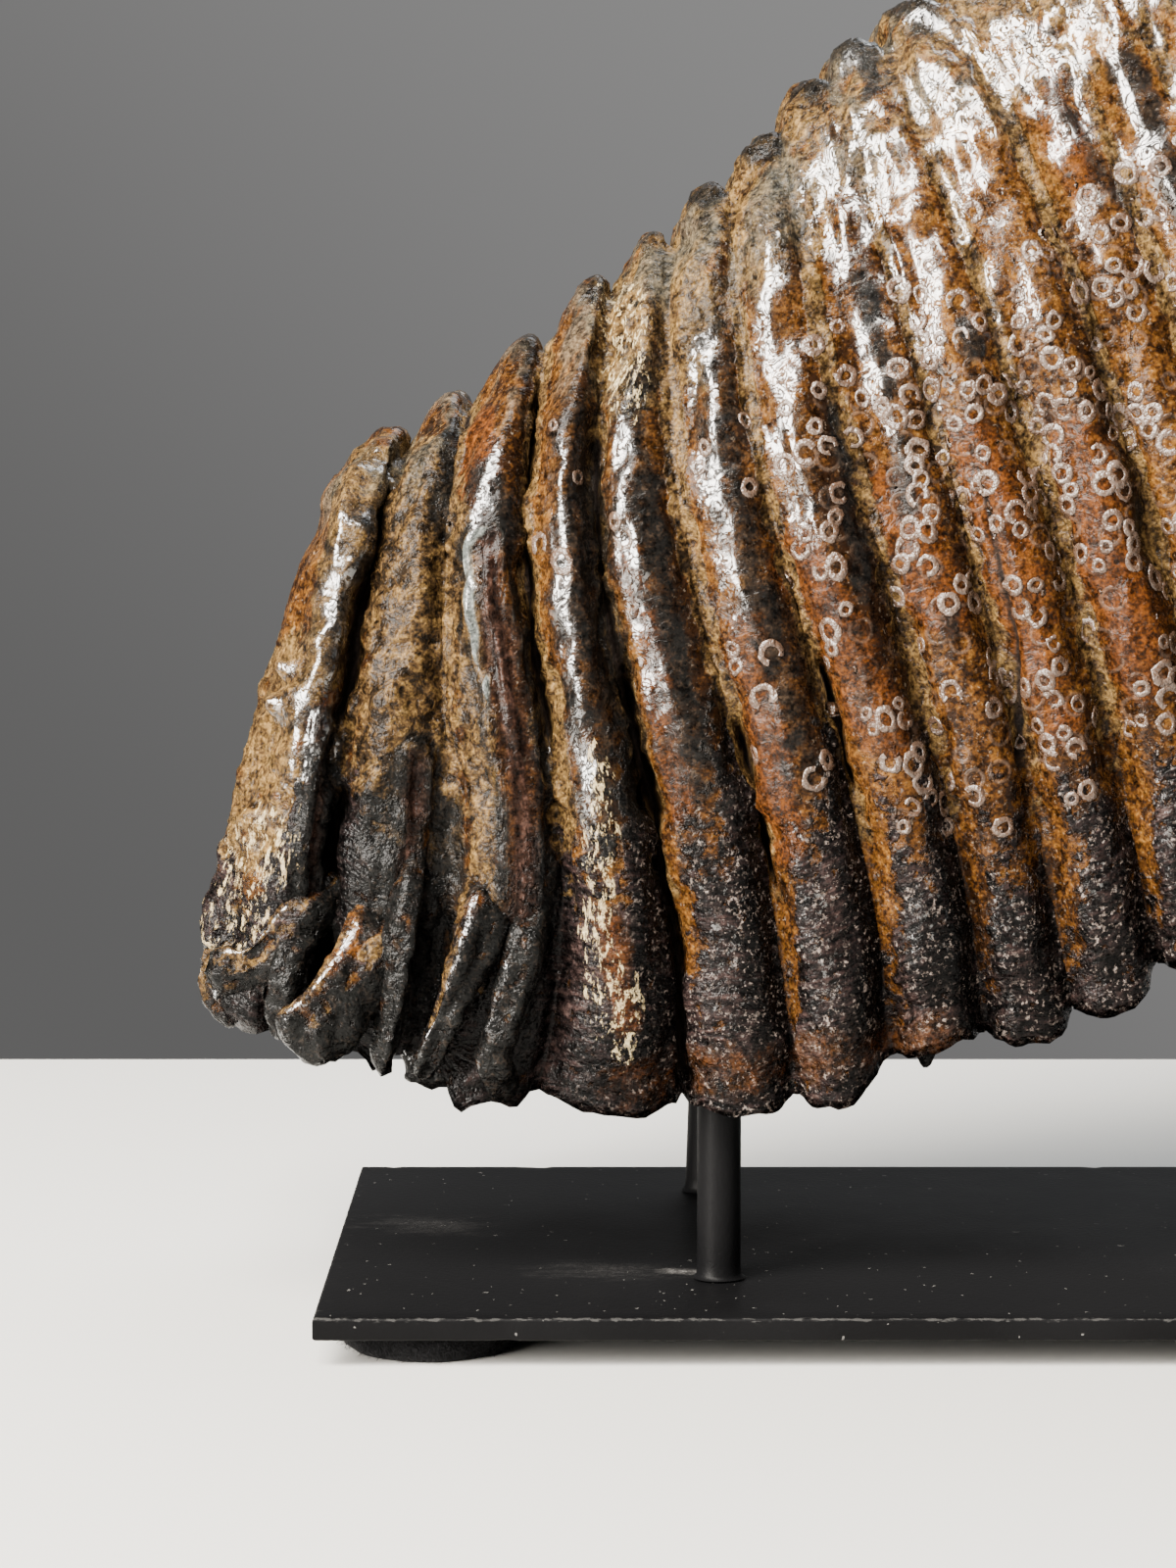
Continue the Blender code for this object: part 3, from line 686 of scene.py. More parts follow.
def crown_rings(sizes):
    """Plate, height and y of every point on the crown's rings, as arrays of one row a ring."""
    plate = ring_plates()[:, None]
    fall, worn, size = ridge_fall(plate), wear(plate), plate_length(plate)
    notch = sizes.tip_notch * (1.0 - LOW_NOTCH_SHARE * ease(*LOW_NOTCHES, plate))
    notch += (WORN_NOTCH - notch) * worn
    low = base_slot(plate) * fall / size
    high = 1.0 - notch * fall / size
    side = low + (high - low) * np.linspace(0.0, 1.0, FLANK_POINTS)[None, :]
    plates = plate + 0.0 * side
    gap, far_gap = open_gap(plates, side)[0], open_gap(plates + 1.0, side)[0]
    groove = groove_depth(sizes, plate, side)
    facet = np.minimum(rear_facet(plates, side), groove)
    flank = half_width(sizes, plate, side) - np.maximum(fall * groove, facet)
    near = np.maximum(flank - gap, LEAST_WIDTH)
    far = np.maximum(flank - 0.7 * far_gap, LEAST_WIDTH)

    across = (np.arange(1, TOP_POINTS + 1) * 2.0 / (TOP_POINTS + 1) - 1.0)[None, :]
    number = crest_of(plate)
    knobs = 3.4 + 0.8 * np.sin(number * 1.7)
    wave = np.sin(np.pi * knobs * 0.5 * (across + 1.0 + 0.21 * np.sin(number * 2.9)))
    knob = sizes.knob_height * np.abs(wave) ** 0.6
    rise = (1.0 - worn) * (knob + TIP_DOME * (1.0 - across ** 2)) * (1.0 - 0.6 * fall)
    bare = np.abs(plate - number)
    band = bell(bare - TOP_BAND_AT - BAND_WANDER * np.sin(across * 23.0 + number * 2.0), TOP_BAND_WIDTH)
    face = worn * ease(1.0, 0.93, np.abs(across))
    rise += face * (sizes.enamel_rise * (band - 0.35) - WORN_DISH * ease(0.30, 0.10, bare))
    stump = root_stump(plate)
    hollow = (sizes.base_hollow - (sizes.base_hollow + ROOT_DROP) * stump) * np.sqrt(1.0 - across ** 2)
    cavity = BASE_CAVITY * ease(0.36, 0.22, bare) * ease(0.92, 0.75, np.abs(across)) * (1.0 - stump)
    top, under = high + rise / size, low + (hollow + cavity) / size
    height = np.concatenate([side, top, side[:, ::-1], under], axis=1)

    def between(end, direction):
        """Y across the top or base, from one flank's end to the other's."""
        return 0.5 * (far[:, end] - near[:, end]) + direction * 0.5 * (far[:, end] + near[:, end]) * across

    left, right = between(slice(-1, None), 1.0), between(slice(0, 1), -1.0)
    y = np.concatenate([-near, left, far[:, ::-1], right], axis=1)
    return plate + 0.0 * height, height, y


def end_face(ring, bulge, push):
    """Rows of points that close a ring: a patch between its flanks, top and base."""
    rows, inner = FLANK_POINTS, TOP_POINTS
    near, top = ring[:rows], ring[rows:rows + inner]
    far, base = ring[rows + inner:2 * rows + inner][::-1], ring[2 * rows + inner:][::-1]
    across = (np.arange(1, inner + 1) / (inner + 1))[None, :, None]
    up = (np.arange(1, rows - 1) / (rows - 1))[:, None, None]
    flat = near[1:-1, None] * (1.0 - across) + far[1:-1, None] * across
    top_row = (top - (near[-1] * (1.0 - across[0]) + far[-1] * across[0]))[None]
    base_row = (base - (near[0] * (1.0 - across[0]) + far[0] * across[0]))[None]
    patch = flat + top_row * up ** 3 + base_row * (1.0 - up) ** 3
    sideways = np.minimum(patch[..., 1] - near[1:-1, None, 1], far[1:-1, None, 1] - patch[..., 1])
    tall = np.linalg.norm(ring[rows - 1] - ring[0])
    upright = np.minimum(up[..., 0], 1.0 - up[..., 0]) * tall
    inset = 1.0 / (1.0 / np.maximum(sideways, 1e-5) ** 2 + 1.0 / np.maximum(upright, 1e-5) ** 2) ** 0.5
    patch[..., 0] += push * np.interp(inset, *zip(*bulge))
    return patch


def crown_faces(rings, around, rear_at, front_at):
    faces = ring_faces(rings, around, turned=True)
    rows, inner = FLANK_POINTS, TOP_POINTS

    def grid(first, patch_at, outward):
        ring = list(range(first, first + 2 * (rows + inner)))
        near, top = ring[:rows], ring[rows:rows + inner]
        far, base = ring[rows + inner:2 * rows + inner][::-1], ring[2 * rows + inner:][::-1]
        table = [[near[0], *base, far[0]]]
        for row in range(1, rows - 1):
            start = patch_at + (row - 1) * inner
            table.append([near[row], *range(start, start + inner), far[row]])
        table.append([near[-1], *top, far[-1]])
        for lower, upper in zip(table, table[1:]):
            for i in range(inner + 1):
                quad = (lower[i], lower[i + 1], upper[i + 1], upper[i])
                faces.append(quad if outward else quad[::-1])

    grid(0, rear_at, False)
    grid((rings - 1) * around, front_at, True)
    return faces


def loop_relief(plate, height, size, pitch, loose, shift):
    """Bare enamel loops on the rear plates' flanks: relief, enamel, dentine and black shares."""
    relief, enamel, dentine, black = (np.zeros(len(plate)) for _ in range(4))
    for rear_band, front_band, top, deep, rise, (rear_pale, front_pale) in FLANK_LOOPS:
        rear, front = (
            np.interp(height, *np.array(band[::-1]).T[::-1]) + shift for band in (rear_band, front_band)
        )
        from_rear, from_front = (plate - rear) * pitch, (front - plate) * pitch
        from_top = (top - height) * size
        least = np.minimum(from_rear, from_front)
        inside = np.minimum(least, from_top)
        corner = (least < LOOP_ROUND) & (from_top < LOOP_ROUND)
        rounded = LOOP_ROUND - np.hypot(LOOP_ROUND - least, LOOP_ROUND - from_top)
        inside = np.where(corner, np.minimum(inside, rounded), inside) + 0.00035 * loose
        fade = ease(0.02, 0.14, height) * (crest_of(plate) == crest_of(0.5 * (rear + front)))
        band = bell(inside - 0.0001, 0.00055) * fade
        within = ease(0.0003, 0.0011, inside) * fade
        middle = ease(0.0014, 0.0004, np.abs(from_rear - from_front) * 0.5) * within
        edge = bell(inside + 0.0012, 0.0006) * fade
        relief += rise * band - deep * within + 0.7 * deep * middle - 0.5 * rise * edge
        pale = np.where(from_rear < from_front, rear_pale, front_pale)
        pale = pale * (0.4 + 0.6 * ease(0.44, 0.58, height))
        enamel, dentine = np.maximum(enamel, band * pale), np.maximum(dentine, within)
        black = np.maximum.reduce([black, edge, band * (1.0 - pale)])
    return relief, enamel, dentine, black


def along_crack(plate, height, pitch):
    plates, heights = np.array(CRACK[::-1]).T
    low, high = heights[[0, -1]]
    window = span(low - 0.01, low + 0.03, high - 0.03, high + 0.01, height)
    return bell((plate - np.interp(height, heights, plates)) * pitch, 0.00045) * window


def crown_surface(sizes):
    """Points and faces of the smooth crown, and where each point lies on it."""
    plate, height, y = crown_rings(sizes)
    x, z = crown_place(plate, height)
    grid = np.stack([x, y, z], axis=-1)
    rings, around = plate.shape
    rear, front = end_face(grid[0], REAR_BULGE, -1.0), end_face(grid[-1], FRONT_BULGE, 1.0)
    up = (np.arange(1, FLANK_POINTS - 1) / (FLANK_POINTS - 1))[:, None] + 0.0 * rear[..., 0]
    points = np.concatenate([grid.reshape(-1, 3), rear.reshape(-1, 3), front.reshape(-1, 3)])
    plate = np.concatenate([plate.ravel(), np.full(up.size, 0.5), np.full(up.size, PLATE_COUNT + 0.5)])
    height = np.concatenate([height.ravel(), up.ravel(), up.ravel()])
    on_ring = np.concatenate([np.tile(np.arange(around), rings), np.full(2 * up.size, -1)])
    faces = crown_faces(rings, around, rings * around, rings * around + up.size)
    return points, faces, plate, height, on_ring


def build_tooth(sizes):
    points, faces, plate, height, on_ring = crown_surface(sizes)
    size, pitch = plate_length(plate), plate_pitch(plate, height)
    fall, worn, number = ridge_fall(plate), wear(plate), crest_of(plate)
    over_top = (on_ring >= FLANK_POINTS) & (on_ring < FLANK_POINTS + TOP_POINTS)
    under = on_ring >= 2 * FLANK_POINTS + TOP_POINTS
    end = on_ring < 0
    near = (points[:, 1] < 0.0) & ~under
    flank = ~over_top & ~under & ~end
    off_middle = np.abs(points[:, 1])
    ahead = plate - number
    bare = np.abs(ahead)
    crown = np.stack([plate * PATTERN_PITCH, points[:, 1], height * size], axis=1)
    streaks = crown * (1.0, 1.0, 0.30)

    # Masks that the finish reads
    wide, lump = layered(points, 0.014, 3), layered(points, 0.0045, 11)
    # How far inside a narrow gap each point lies; the finish paints the gaps near-black as shade
    gap = np.where(flank, open_gap(np.where(near, plate, plate + 1.0), height)[1], 0.0)
    loose = layered(points, 0.0045, 13, 2)
    near_loops, far_loops = (loop_relief(plate, height, size, pitch, loose, shift) for shift in (0.0, 0.10))
    loops, enamel, dentine, folds = (
        np.where(near, one, other) * flank for one, other in zip(near_loops, far_loops)
    )
    worn_face = worn * over_top * ease(0.0, 0.003, half_width(sizes, plate, height) - off_middle + 0.0015)
    wobble = BAND_WANDER * np.sin(points[:, 1] * 620.0 + number * 2.0)
    enamel = np.maximum(enamel, bell(bare - TOP_BAND_AT - wobble, TOP_BAND_WIDTH) * worn_face)
    dentine = np.maximum(dentine, worn_face * ease(0.27, 0.20, bare))
    marked = flank | over_top | end

    def both(named, front_marks, far_marks, seed):
        """Named marks and those further forward on the near flank, other ones on the far flank."""
        shown = marks(points, (*named, *front_marks), seed)
        return np.where(near, shown, marks(points, far_marks, seed + 5)) * marked

    fade = np.where(over_top, ease(0.001, 0.011, off_middle), 1.0)
    charcoal = fade * both(
        CHARCOAL_MARKS + TIP_MARKS,
        scattered_marks(6, 22, (11, 19), (0.30, 0.95), (0.0010, 0.0022), (0.02, 0.18)),
        scattered_marks(5, 60, (1, 19), (0.35, 0.95), (0.0012, 0.0026), (0.03, 0.25)), 21)
    rust = fade * both(
        RUST_MARKS, scattered_marks(9, 20, (11, 19), (0.2, 0.9), (0.0016, 0.0036), (0.05, 0.30)),
        scattered_marks(8, 46, (1, 19), (0.2, 0.9), (0.0016, 0.0036), (0.05, 0.30)), 23)
    cream = both(
        CREAM_MARKS, (), scattered_marks(12, 14, (2, 8), (0.1, 0.5), (0.0008, 0.0014), (0.01, 0.06)), 25)
    cement = both(CEMENT_MARKS, (), CEMENT_MARKS, 27)
    tips = ease(0.965, 1.0, height) * (1.0 - worn) * ease(0.30, 0.10, bare)
    tips *= ease(-0.2, 0.6, bumps(points, 0.009, 77)) * (over_top | ~near)
    stained = bell((ahead - 0.06) * pitch, 0.0042) * span(*STAINED_PLATES, plate)
    stained *= span(*STAINED_HEIGHTS, height) * marked
    charcoal = np.maximum.reduce([charcoal, 0.30 * tips, folds, 0.78 * stained])
    upper = ease(*UPPER_HEIGHTS, height) * ease(*UPPER_PLATES, plate)
    grooves = ease(0.45, 0.85, fall) * ease(0.12, 0.36, height)
    between_bands = worn_face * ease(0.37, 0.43, bare)
    cement = np.clip(np.maximum.reduce([cement, 0.62 * upper, 0.75 * grooves, between_bands]), 0.0, 1.0)
    # Painted shade on the front flank of each ridge, the side away from the light, together with darker
    # stains below the tops of plates 8 and 9 and on plates 2 and 3
    stain = np.maximum.reduce([
        ease(0.0, 0.28, ahead) * (1.0 - 0.4 * ease(7.5, 9.0, plate)),
        0.38 * span(*PALE_PLATES, plate) * ease(*PALE_HEIGHTS, height),
        0.9 * (number == 3) * ease(0.86, 0.76, height), 1.15 * (number == 2),
    ]) * (0.75 + 0.25 * wide) * flank
    front_flank = ease(0.10, 0.30, ahead) * ease(8.5, 6.5, plate)
    burnt_to = np.interp(plate, *np.array(BURNT_LINE).T) + 0.035 * wide + 0.05 * bumps(streaks, 0.0050, 43)
    burnt_to += (0.12 * front_flank - 0.15 * ease(-0.20, -0.38, ahead)) * ease(3.4, 4.6, plate)
    burnt = np.where(under, 1.0, ease(burnt_to + 0.13, burnt_to - 0.10, height))
    scars = ease(*SCARRED_PLATES, plate) * span(*SCARRED_HEIGHTS, height)
    scars *= 0.55 + 0.45 * ease(-0.4, 0.5, bumps(points, 0.02, 51))
    scars = np.maximum(scars, marks(points, SCAR_MARKS, 53))
    scars *= flank * (1.0 - gap) * (1.0 - 0.6 * fall) * (1.0 - 0.8 * charcoal)
    crack = along_crack(plate, height, pitch) * (flank & near)
    number_at, *polished = np.array(POLISH).T
    across, reach, low, high, share = (np.interp(number, number_at, column) for column in polished)
    polish = share * bell((ahead - across) * pitch, reach)
    polish *= span(low - 0.06, low + 0.05, high - 0.05, high + 0.05, height)
    polish *= 0.75 + 0.25 * ease(-0.5, 0.3, bumps(points, 0.006, 57))
    low_gloss = 0.54 * burnt * ease(*GLOSSY_PLATES, plate) * ease(*GLOSSY_HEIGHTS, height) * near
    low_gloss *= bell((ahead + 0.08) * pitch, 0.0036)
    polish = np.maximum.reduce([polish, 0.7 * enamel, low_gloss]) * flank

    # Relief along the surface's own direction
    relief = sizes.wave_height * wide + sizes.lump_height * lump * (1.0 + 0.8 * cement)
    relief += sizes.grain_height * layered(points, 0.0020, 17, 2) * (1.0 + 1.2 * cement)
    relief += STREAK_DEPTH * bumps(streaks, 0.0022, 41) * flank
    relief += loops - CRACK_DEPTH * crack
    relief -= PIT_DEPTH * cement * ease(0.25, 0.7, bumps(points, 0.0028, 61))
    relief += GROOVE_LUMPS * grooves * layered(points, 0.0026, 65, 2) * flank
    relief += CHAR_LUMPS * charcoal * bumps(points, 0.0020, 63)
    lumpy = np.maximum(
        ease(*LUMPY_PLATES, plate) * ease(*LUMPY_HEIGHTS, height),
        ease(*LUMPY_REAR_PLATES, plate) * ease(*LUMPY_REAR_HEIGHTS, height))
    relief += UPPER_LUMPS * lumpy * flank * layered(points, 0.0034, 67, 2)

    def away(plate_at, height_at):
        """How far each point lies, in side view, from a place on the crown."""
        x, z = crown_place(plate_at, height_at)
        return np.hypot(points[:, 0] - x, points[:, 2] - z)

    for plate_at, height_at, knob in NODULES:
        relief += knob * bell(away(plate_at, height_at), NODULE_REACH) * (points[:, 1] < NODULE_SIDE)
    finger = bell((plate - 0.84) * pitch, 0.0030) * ease(0.36, 0.50, height)
    relief += FINGER_RISE * finger * (flank | over_top)
    relief += CORNER_RISE * bell(away(0.62, 0.955), 0.0062) * (plate < 1.02)
    rim = ease(3.4, 3.9, plate) * flank
    relief -= RIM_LINE_DEPTH * bell(height * size - RIM_LINE_HEIGHT - 0.0008 * wide, 0.0008) * rim
    torn = ease(*TORN_PLATES, plate) * ease(*TORN_HEIGHTS, height)
    relief += torn * TORN_DEPTH * layered(crown * (1.0, 1.0, 0.5), 0.0060, 71)
    fingers = np.cos(2.0 * np.pi * points[:, 1] / FLUTE_PITCH + 0.6 * np.sin(height * 6.0))
    relief += end * FLUTE_DEPTH * fingers * ease(0.0, 0.25, height) * ease(1.0, 0.7, height)
    relief += under * UNDERSIDE_DEPTH * layered(points, 0.007, 81)
    relief *= 1.0 - 0.7 * gap
    points = points + corner_normals(points, faces) * relief[:, None]

    # Ragged ends: points near the base move along their plate
    line = plate_line(plate)
    along = np.stack([line[:, 2] - line[:, 0], np.zeros(len(line)), line[:, 3] - line[:, 1]], axis=1)
    ragged = RAGGED_REACH * layered(crown * (1.0, 1.0, 0.0), 0.0045, 91)
    ragged += torn * TORN_REACH * layered(crown * (1.0, 1.0, 0.0), 0.0065, 93)
    ragged *= np.where(under, 1.0, ease(0.16, 0.0, height))
    points += along * (ragged / size)[:, None]
    points[:, 2] = np.maximum(points[:, 2], LOWEST_POINT)
    return mesh_from(
        "fossil_tooth", points, faces, crown=crown, height=height, gap=gap, enamel=enamel, stain=stain,
        dentine=dentine, charcoal=charcoal, rust=rust, cream=cream, cement=cement, burnt=burnt, scars=scars,
        crack=crack, plate=plate, polish=polish)


def tongue(points_mm, width, thickness, seed):
    """A torn tongue of enamel: a fluted tapering bar along a smooth curve, closed at both ends."""
    steps, around = TONGUE_STEPS, TONGUE_POINTS
    knots = np.array(points_mm) * MM
    at = np.linspace(0.0, len(knots) - 1.0, steps)
    spine = np.stack([np.interp(at, np.arange(len(knots)), knots[:, i]) for i in range(3)], axis=1)
    for _ in range(SMOOTHINGS):
        spine[1:-1] = (spine[:-2] + 2.0 * spine[1:-1] + spine[2:]) / 4.0
    points, shares = [], np.linspace(0.0, 1.0, steps)
    turn = 2.0 * math.pi * np.arange(around) / around
    flutes = 1.0 + 0.13 * np.cos(3.0 * turn + seed) + 0.09 * np.cos(5.0 * turn + 2.0 * seed)
    outward = np.array([0.0, -1.0 if knots[0][1] <= 0.0 else 1.0, 0.0])
    for i, (centre, share) in enumerate(zip(spine, shares)):
        ahead = spine[min(i + 1, steps - 1)] - spine[max(i - 1, 0)]
        ahead = ahead / np.linalg.norm(ahead)
        out = outward - ahead * (outward @ ahead)
        out = out / np.linalg.norm(out)
        blunt = math.sqrt(max(1.0 - (max(share - BLUNT_FROM, 0.0) / 0.16) ** 2 * 0.96, 0.02))
        taper = (1.0 - TONGUE_TAPER * share) * blunt
        taper *= 1.0 + TONGUE_WAVE * math.sin(9.0 * share + 2.0 * seed)
        taper *= 0.45 + 0.55 * float(ease(0.0, 0.30, share))
        twist = TONGUE_TWIST * math.sin(2.3 * share + seed)
        a = 0.5 * width * MM * taper * flutes * np.cos(turn)
        b = 0.5 * thickness * MM * taper * flutes * np.sin(turn)
        a, b = a * math.cos(twist) - b * math.sin(twist), a * math.sin(twist) + b * math.cos(twist)
        points.append(centre + np.cross(ahead, out) * a[:, None] + out * b[:, None])
    points = np.concatenate([*points, spine[:1], spine[-1:]])
    faces, last = ring_faces(steps, around), (steps - 1) * around
    for j in range(around):
        k = (j + 1) % around
        faces += [(last + around, k, j), (last + around + 1, last + j, last + k)]
    ends = [0.0, 1.0]
    along = np.concatenate([np.repeat(shares, around), ends])
    return points, faces, along, np.concatenate([np.tile(flutes, steps), ends])


def outward_faces(points, faces):
    """The faces turned so that they point outwards, and the normals at the points."""
    shape = bmesh.new()
    corners = [shape.verts.new(point) for point in points]
    for face in faces:
        shape.faces.new([corners[i] for i in face])
    shape.verts.index_update()
    bmesh.ops.recalc_face_normals(shape, faces=shape.faces[:])
    shape.normal_update()
    normals = np.array([vert.normal for vert in shape.verts])
    faces = [tuple(vert.index for vert in face.verts) for face in shape.faces]
    shape.free()
    return faces, normals


def build_torn_ends():
    faces, parts, count = [], [], 0
    for number, (knots, width, thickness, left) in enumerate(TORN_ENDS):
        points, own_faces, along, flutes = tongue(knots, width, thickness, number * 1.3)
        own_faces, normals = outward_faces(points, own_faces)
        rough = END_ROUGHNESS * layered(points * (1.0, 1.0, 0.45), 0.0042, 101, 2)
        rough += END_GRAIN * layered(points, 0.0016, 103, 2)
        points = points + normals * (rough * ease(0.0, 0.15, along))[:, None]
        facing = normals @ (-0.60, -0.30, 0.60) + 0.40 * bumps(points, 0.004, 105)
        brown = left * ease(0.10, 0.60, facing) * ease(1.0, 0.75, along)
        shiny = 0.80 * ease(0.05, 0.4, facing) * ease(1.03, 1.14, flutes) * ease(0.10, 0.25, along)
        parts.append((points, along, brown, shiny))
        faces += [tuple(count + i for i in face) for face in own_faces]
        count += len(points)
    points, along, brown, shiny = (np.concatenate(column) for column in zip(*parts))
    none = np.zeros(count)
    patchy = ease(-0.3, 0.5, bumps(points, 0.006, 107))
    return mesh_from(
        "torn_ends", points, faces, crown=points, height=0.15 * (1.0 - along), charcoal=1.0 - 0.9 * brown,
        rust=0.45 * patchy, cement=brown * (1.0 - 0.6 * patchy), burnt=0.9 - 0.6 * brown, plate=none + 2.0,
        polish=shiny, stain=0.8 * (1.0 - brown), gap=none, enamel=none, dentine=none, cream=none, scars=none,
        crack=none)


# --- node trees ---


class Wire:
    """What one node puts out; a sum, difference or product of wires is a new node's wire."""

    def __init__(self, nodes, socket):
        self.nodes, self.socket = nodes, socket

    def also(self, name):
        """Another output of the same node."""
        return Wire(self.nodes, pick(self.socket.node.outputs, name))

    def __add__(self, other):
        return self.nodes.math("ADD", self, other)

    def __sub__(self, other):
        return self.nodes.math("SUBTRACT", self, other)

    def __rsub__(self, other):
        return self.nodes.math("SUBTRACT", other, self)

    def __mul__(self, other):
        return self.nodes.math("MULTIPLY", self, other)

    def __or__(self, other):
        return self.nodes.math("MAXIMUM", self, other)

    __radd__, __rmul__ = __add__, __mul__


def pick(sockets, name):
    """The socket at this place, or the enabled one of this name."""
    if isinstance(name, int):
        return sockets[name]
    return next(item for item in sockets if item.name == name and item.enabled)


class Nodes:
    """Short calls that place nodes in one tree and join them."""

    def __init__(self, tree):
        self.tree = tree

    def feed(self, socket, value):
        if isinstance(value, Wire):
            self.tree.links.new(value.socket, socket)
        else:
            socket.default_value = (*value, 1.0) if socket.type == "RGBA" and len(value) == 3 else value

    def put(self, kind, given=(), out=0, **settings):
        """Places a node, feeds its inputs by name or in order, and returns one of its outputs."""
        node = self.tree.nodes.new(kind)
        for name, value in settings.items():
            setattr(node, name, value)
        for name, value in given.items() if isinstance(given, dict) else enumerate(given):
            if value is not None:
                self.feed(pick(node.inputs, name), value)
        return Wire(self, pick(node.outputs, out))

    def math(self, operation, *given):
        return self.put("ShaderNodeMath", given, operation=operation)

    def vectors(self, operation, *given):
        return self.put("ShaderNodeVectorMath", given, operation=operation)

    def vector(self, *given):
        return self.put("ShaderNodeCombineXYZ", given)

    def parts(self, vector):
        first = self.put("ShaderNodeSeparateXYZ", (vector,))
        return first, first.also("Y"), first.also("Z")

    def mix(self, share, first, second, blend="MIX"):
        return self.put(
            "ShaderNodeMix", {0: share, 6: first, 7: second}, 2, data_type="RGBA", blend_type=blend)

    def blend(self, share, first, second):
        return self.put("ShaderNodeMix", {0: share, 2: first, 3: second}, data_type="FLOAT")

    def noise(self, place, size, detail=3.0, rough=0.55, distort=0.0):
        scale = self.math("DIVIDE", 1.0, size) if isinstance(size, Wire) else 1.0 / size
        return self.put("ShaderNodeTexNoise", {
            "Vector": place, "Scale": scale, "Detail": detail, "Roughness": rough, "Distortion": distort})

    def step(self, value, low, high, to_low=0.0, to_high=1.0):
        given = (value, low, high, to_low, to_high)
        return self.put("ShaderNodeMapRange", given, interpolation_type="SMOOTHSTEP")

    def ramp(self, share, *stops):
        made = self.put("ShaderNodeValToRGB", (share,))
        elements = made.socket.node.color_ramp.elements
        while len(elements) < len(stops):
            elements.new(0.5)
        for element, (position, _) in zip(elements, stops):
            element.position = position
        for element, (_, tone) in zip(elements, stops):
            element.color = (*tone, 1.0)
        return made

    def value_of(self, name, out="Fac"):
        return self.put("ShaderNodeAttribute", out=out, attribute_name=name)

    def place(self):
        return self.put("ShaderNodeTexCoord", out="Object")

    def group(self, name, **given):
        return self.put("ShaderNodeGroup", given, node_tree=node_group(name))

    def bump(self, height, distance, strength=1.0):
        given = {"Strength": strength, "Distance": distance, "Height": height}
        return self.put("ShaderNodeBump", given)

    # The calls below are for geometry trees
    def named(self, name):
        given = {"Name": name}
        return self.put("GeometryNodeInputNamedAttribute", given, "Attribute", data_type="FLOAT")

    def chance(self, kind, low, high, seed=0):
        given = {"Min": low, "Max": high, "Seed": seed}
        return self.put("FunctionNodeRandomValue", given, "Value", data_type=kind)

    def turned(self, first, then):
        return self.put("FunctionNodeRotateRotation", (first, then), rotation_space="LOCAL")

    def swept(self, line, outline):
        given = {"Curve": line, "Profile Curve": outline, "Fill Caps": True}
        return self.put("GeometryNodeCurveToMesh", given)

    def joined(self, *pieces, kind="GeometryNodeJoinGeometry"):
        made = self.put(kind)
        for piece in pieces:
            self.feed(made.socket.node.inputs[0], piece)
        return made

    def painted(self, geometry, material):
        return self.put("GeometryNodeSetMaterial", {"Geometry": geometry, "Material": material})


def ragged_patch(nodes, given):
    """Turns a soft mask into a patch with a ragged edge."""
    mask, softness = given["Mask"], given["Softness"]
    loose = (nodes.noise(given["Place"], given["Size"], 4.0, 0.6) - 0.5) * given["Raggedness"]
    share = nodes.step(mask + loose * 2.0, 0.5 - softness, 0.5 + softness)
    return {"Share": share * nodes.step(mask, 0.02, 0.14)}


def fine_grain(nodes, given):
    """Fine grain: a height for bumps and a shade for colour."""
    coarse = nodes.noise(given["Place"], given["Size"], 2.0, 0.5, given["Swirl"])
    small = nodes.noise(given["Place"], given["Size"] * 0.40, 1.0, 0.5)
    shade = nodes.step(nodes.blend(0.5, coarse, small), 0.32, 0.68)
    return {"Height": nodes.blend(0.35, coarse, small), "Shade": shade}


def faint_rings(nodes, given):
    """Faint ring scars that are too slight to be walls."""
    away = nodes.put("ShaderNodeTexVoronoi", {
        "Vector": given["Place"], "Scale": nodes.math("DIVIDE", 1.0, given["Pitch"]), "Randomness": 0.85,
    }, "Distance", voronoi_dimensions="2D", feature="F1")
    first = nodes.put("ShaderNodeSeparateColor", (away.also("Color"),))
    kept = nodes.step(first, 1.0 - given["Density"], 1.02 - given["Density"])
    radius = first.also("Green") * 0.14 + 0.22
    return {"Ring": nodes.step(nodes.math("ABSOLUTE", away - radius), 0.085, 0.02) * kept}


def new_material(name):
    old = bpy.data.materials.get(name)
    if old:
        bpy.data.materials.remove(old)
    material = bpy.data.materials.new(name)
    material.use_nodes = True
    return material, Nodes(material.node_tree), material.node_tree.nodes["Principled BSDF"].inputs


def dress_shader(nodes, inputs, **given):
    """Feeds the shader's inputs; an underscore in a name stands for a space."""
    for name, value in given.items():
        nodes.feed(inputs[name.replace("_", " ")], value)


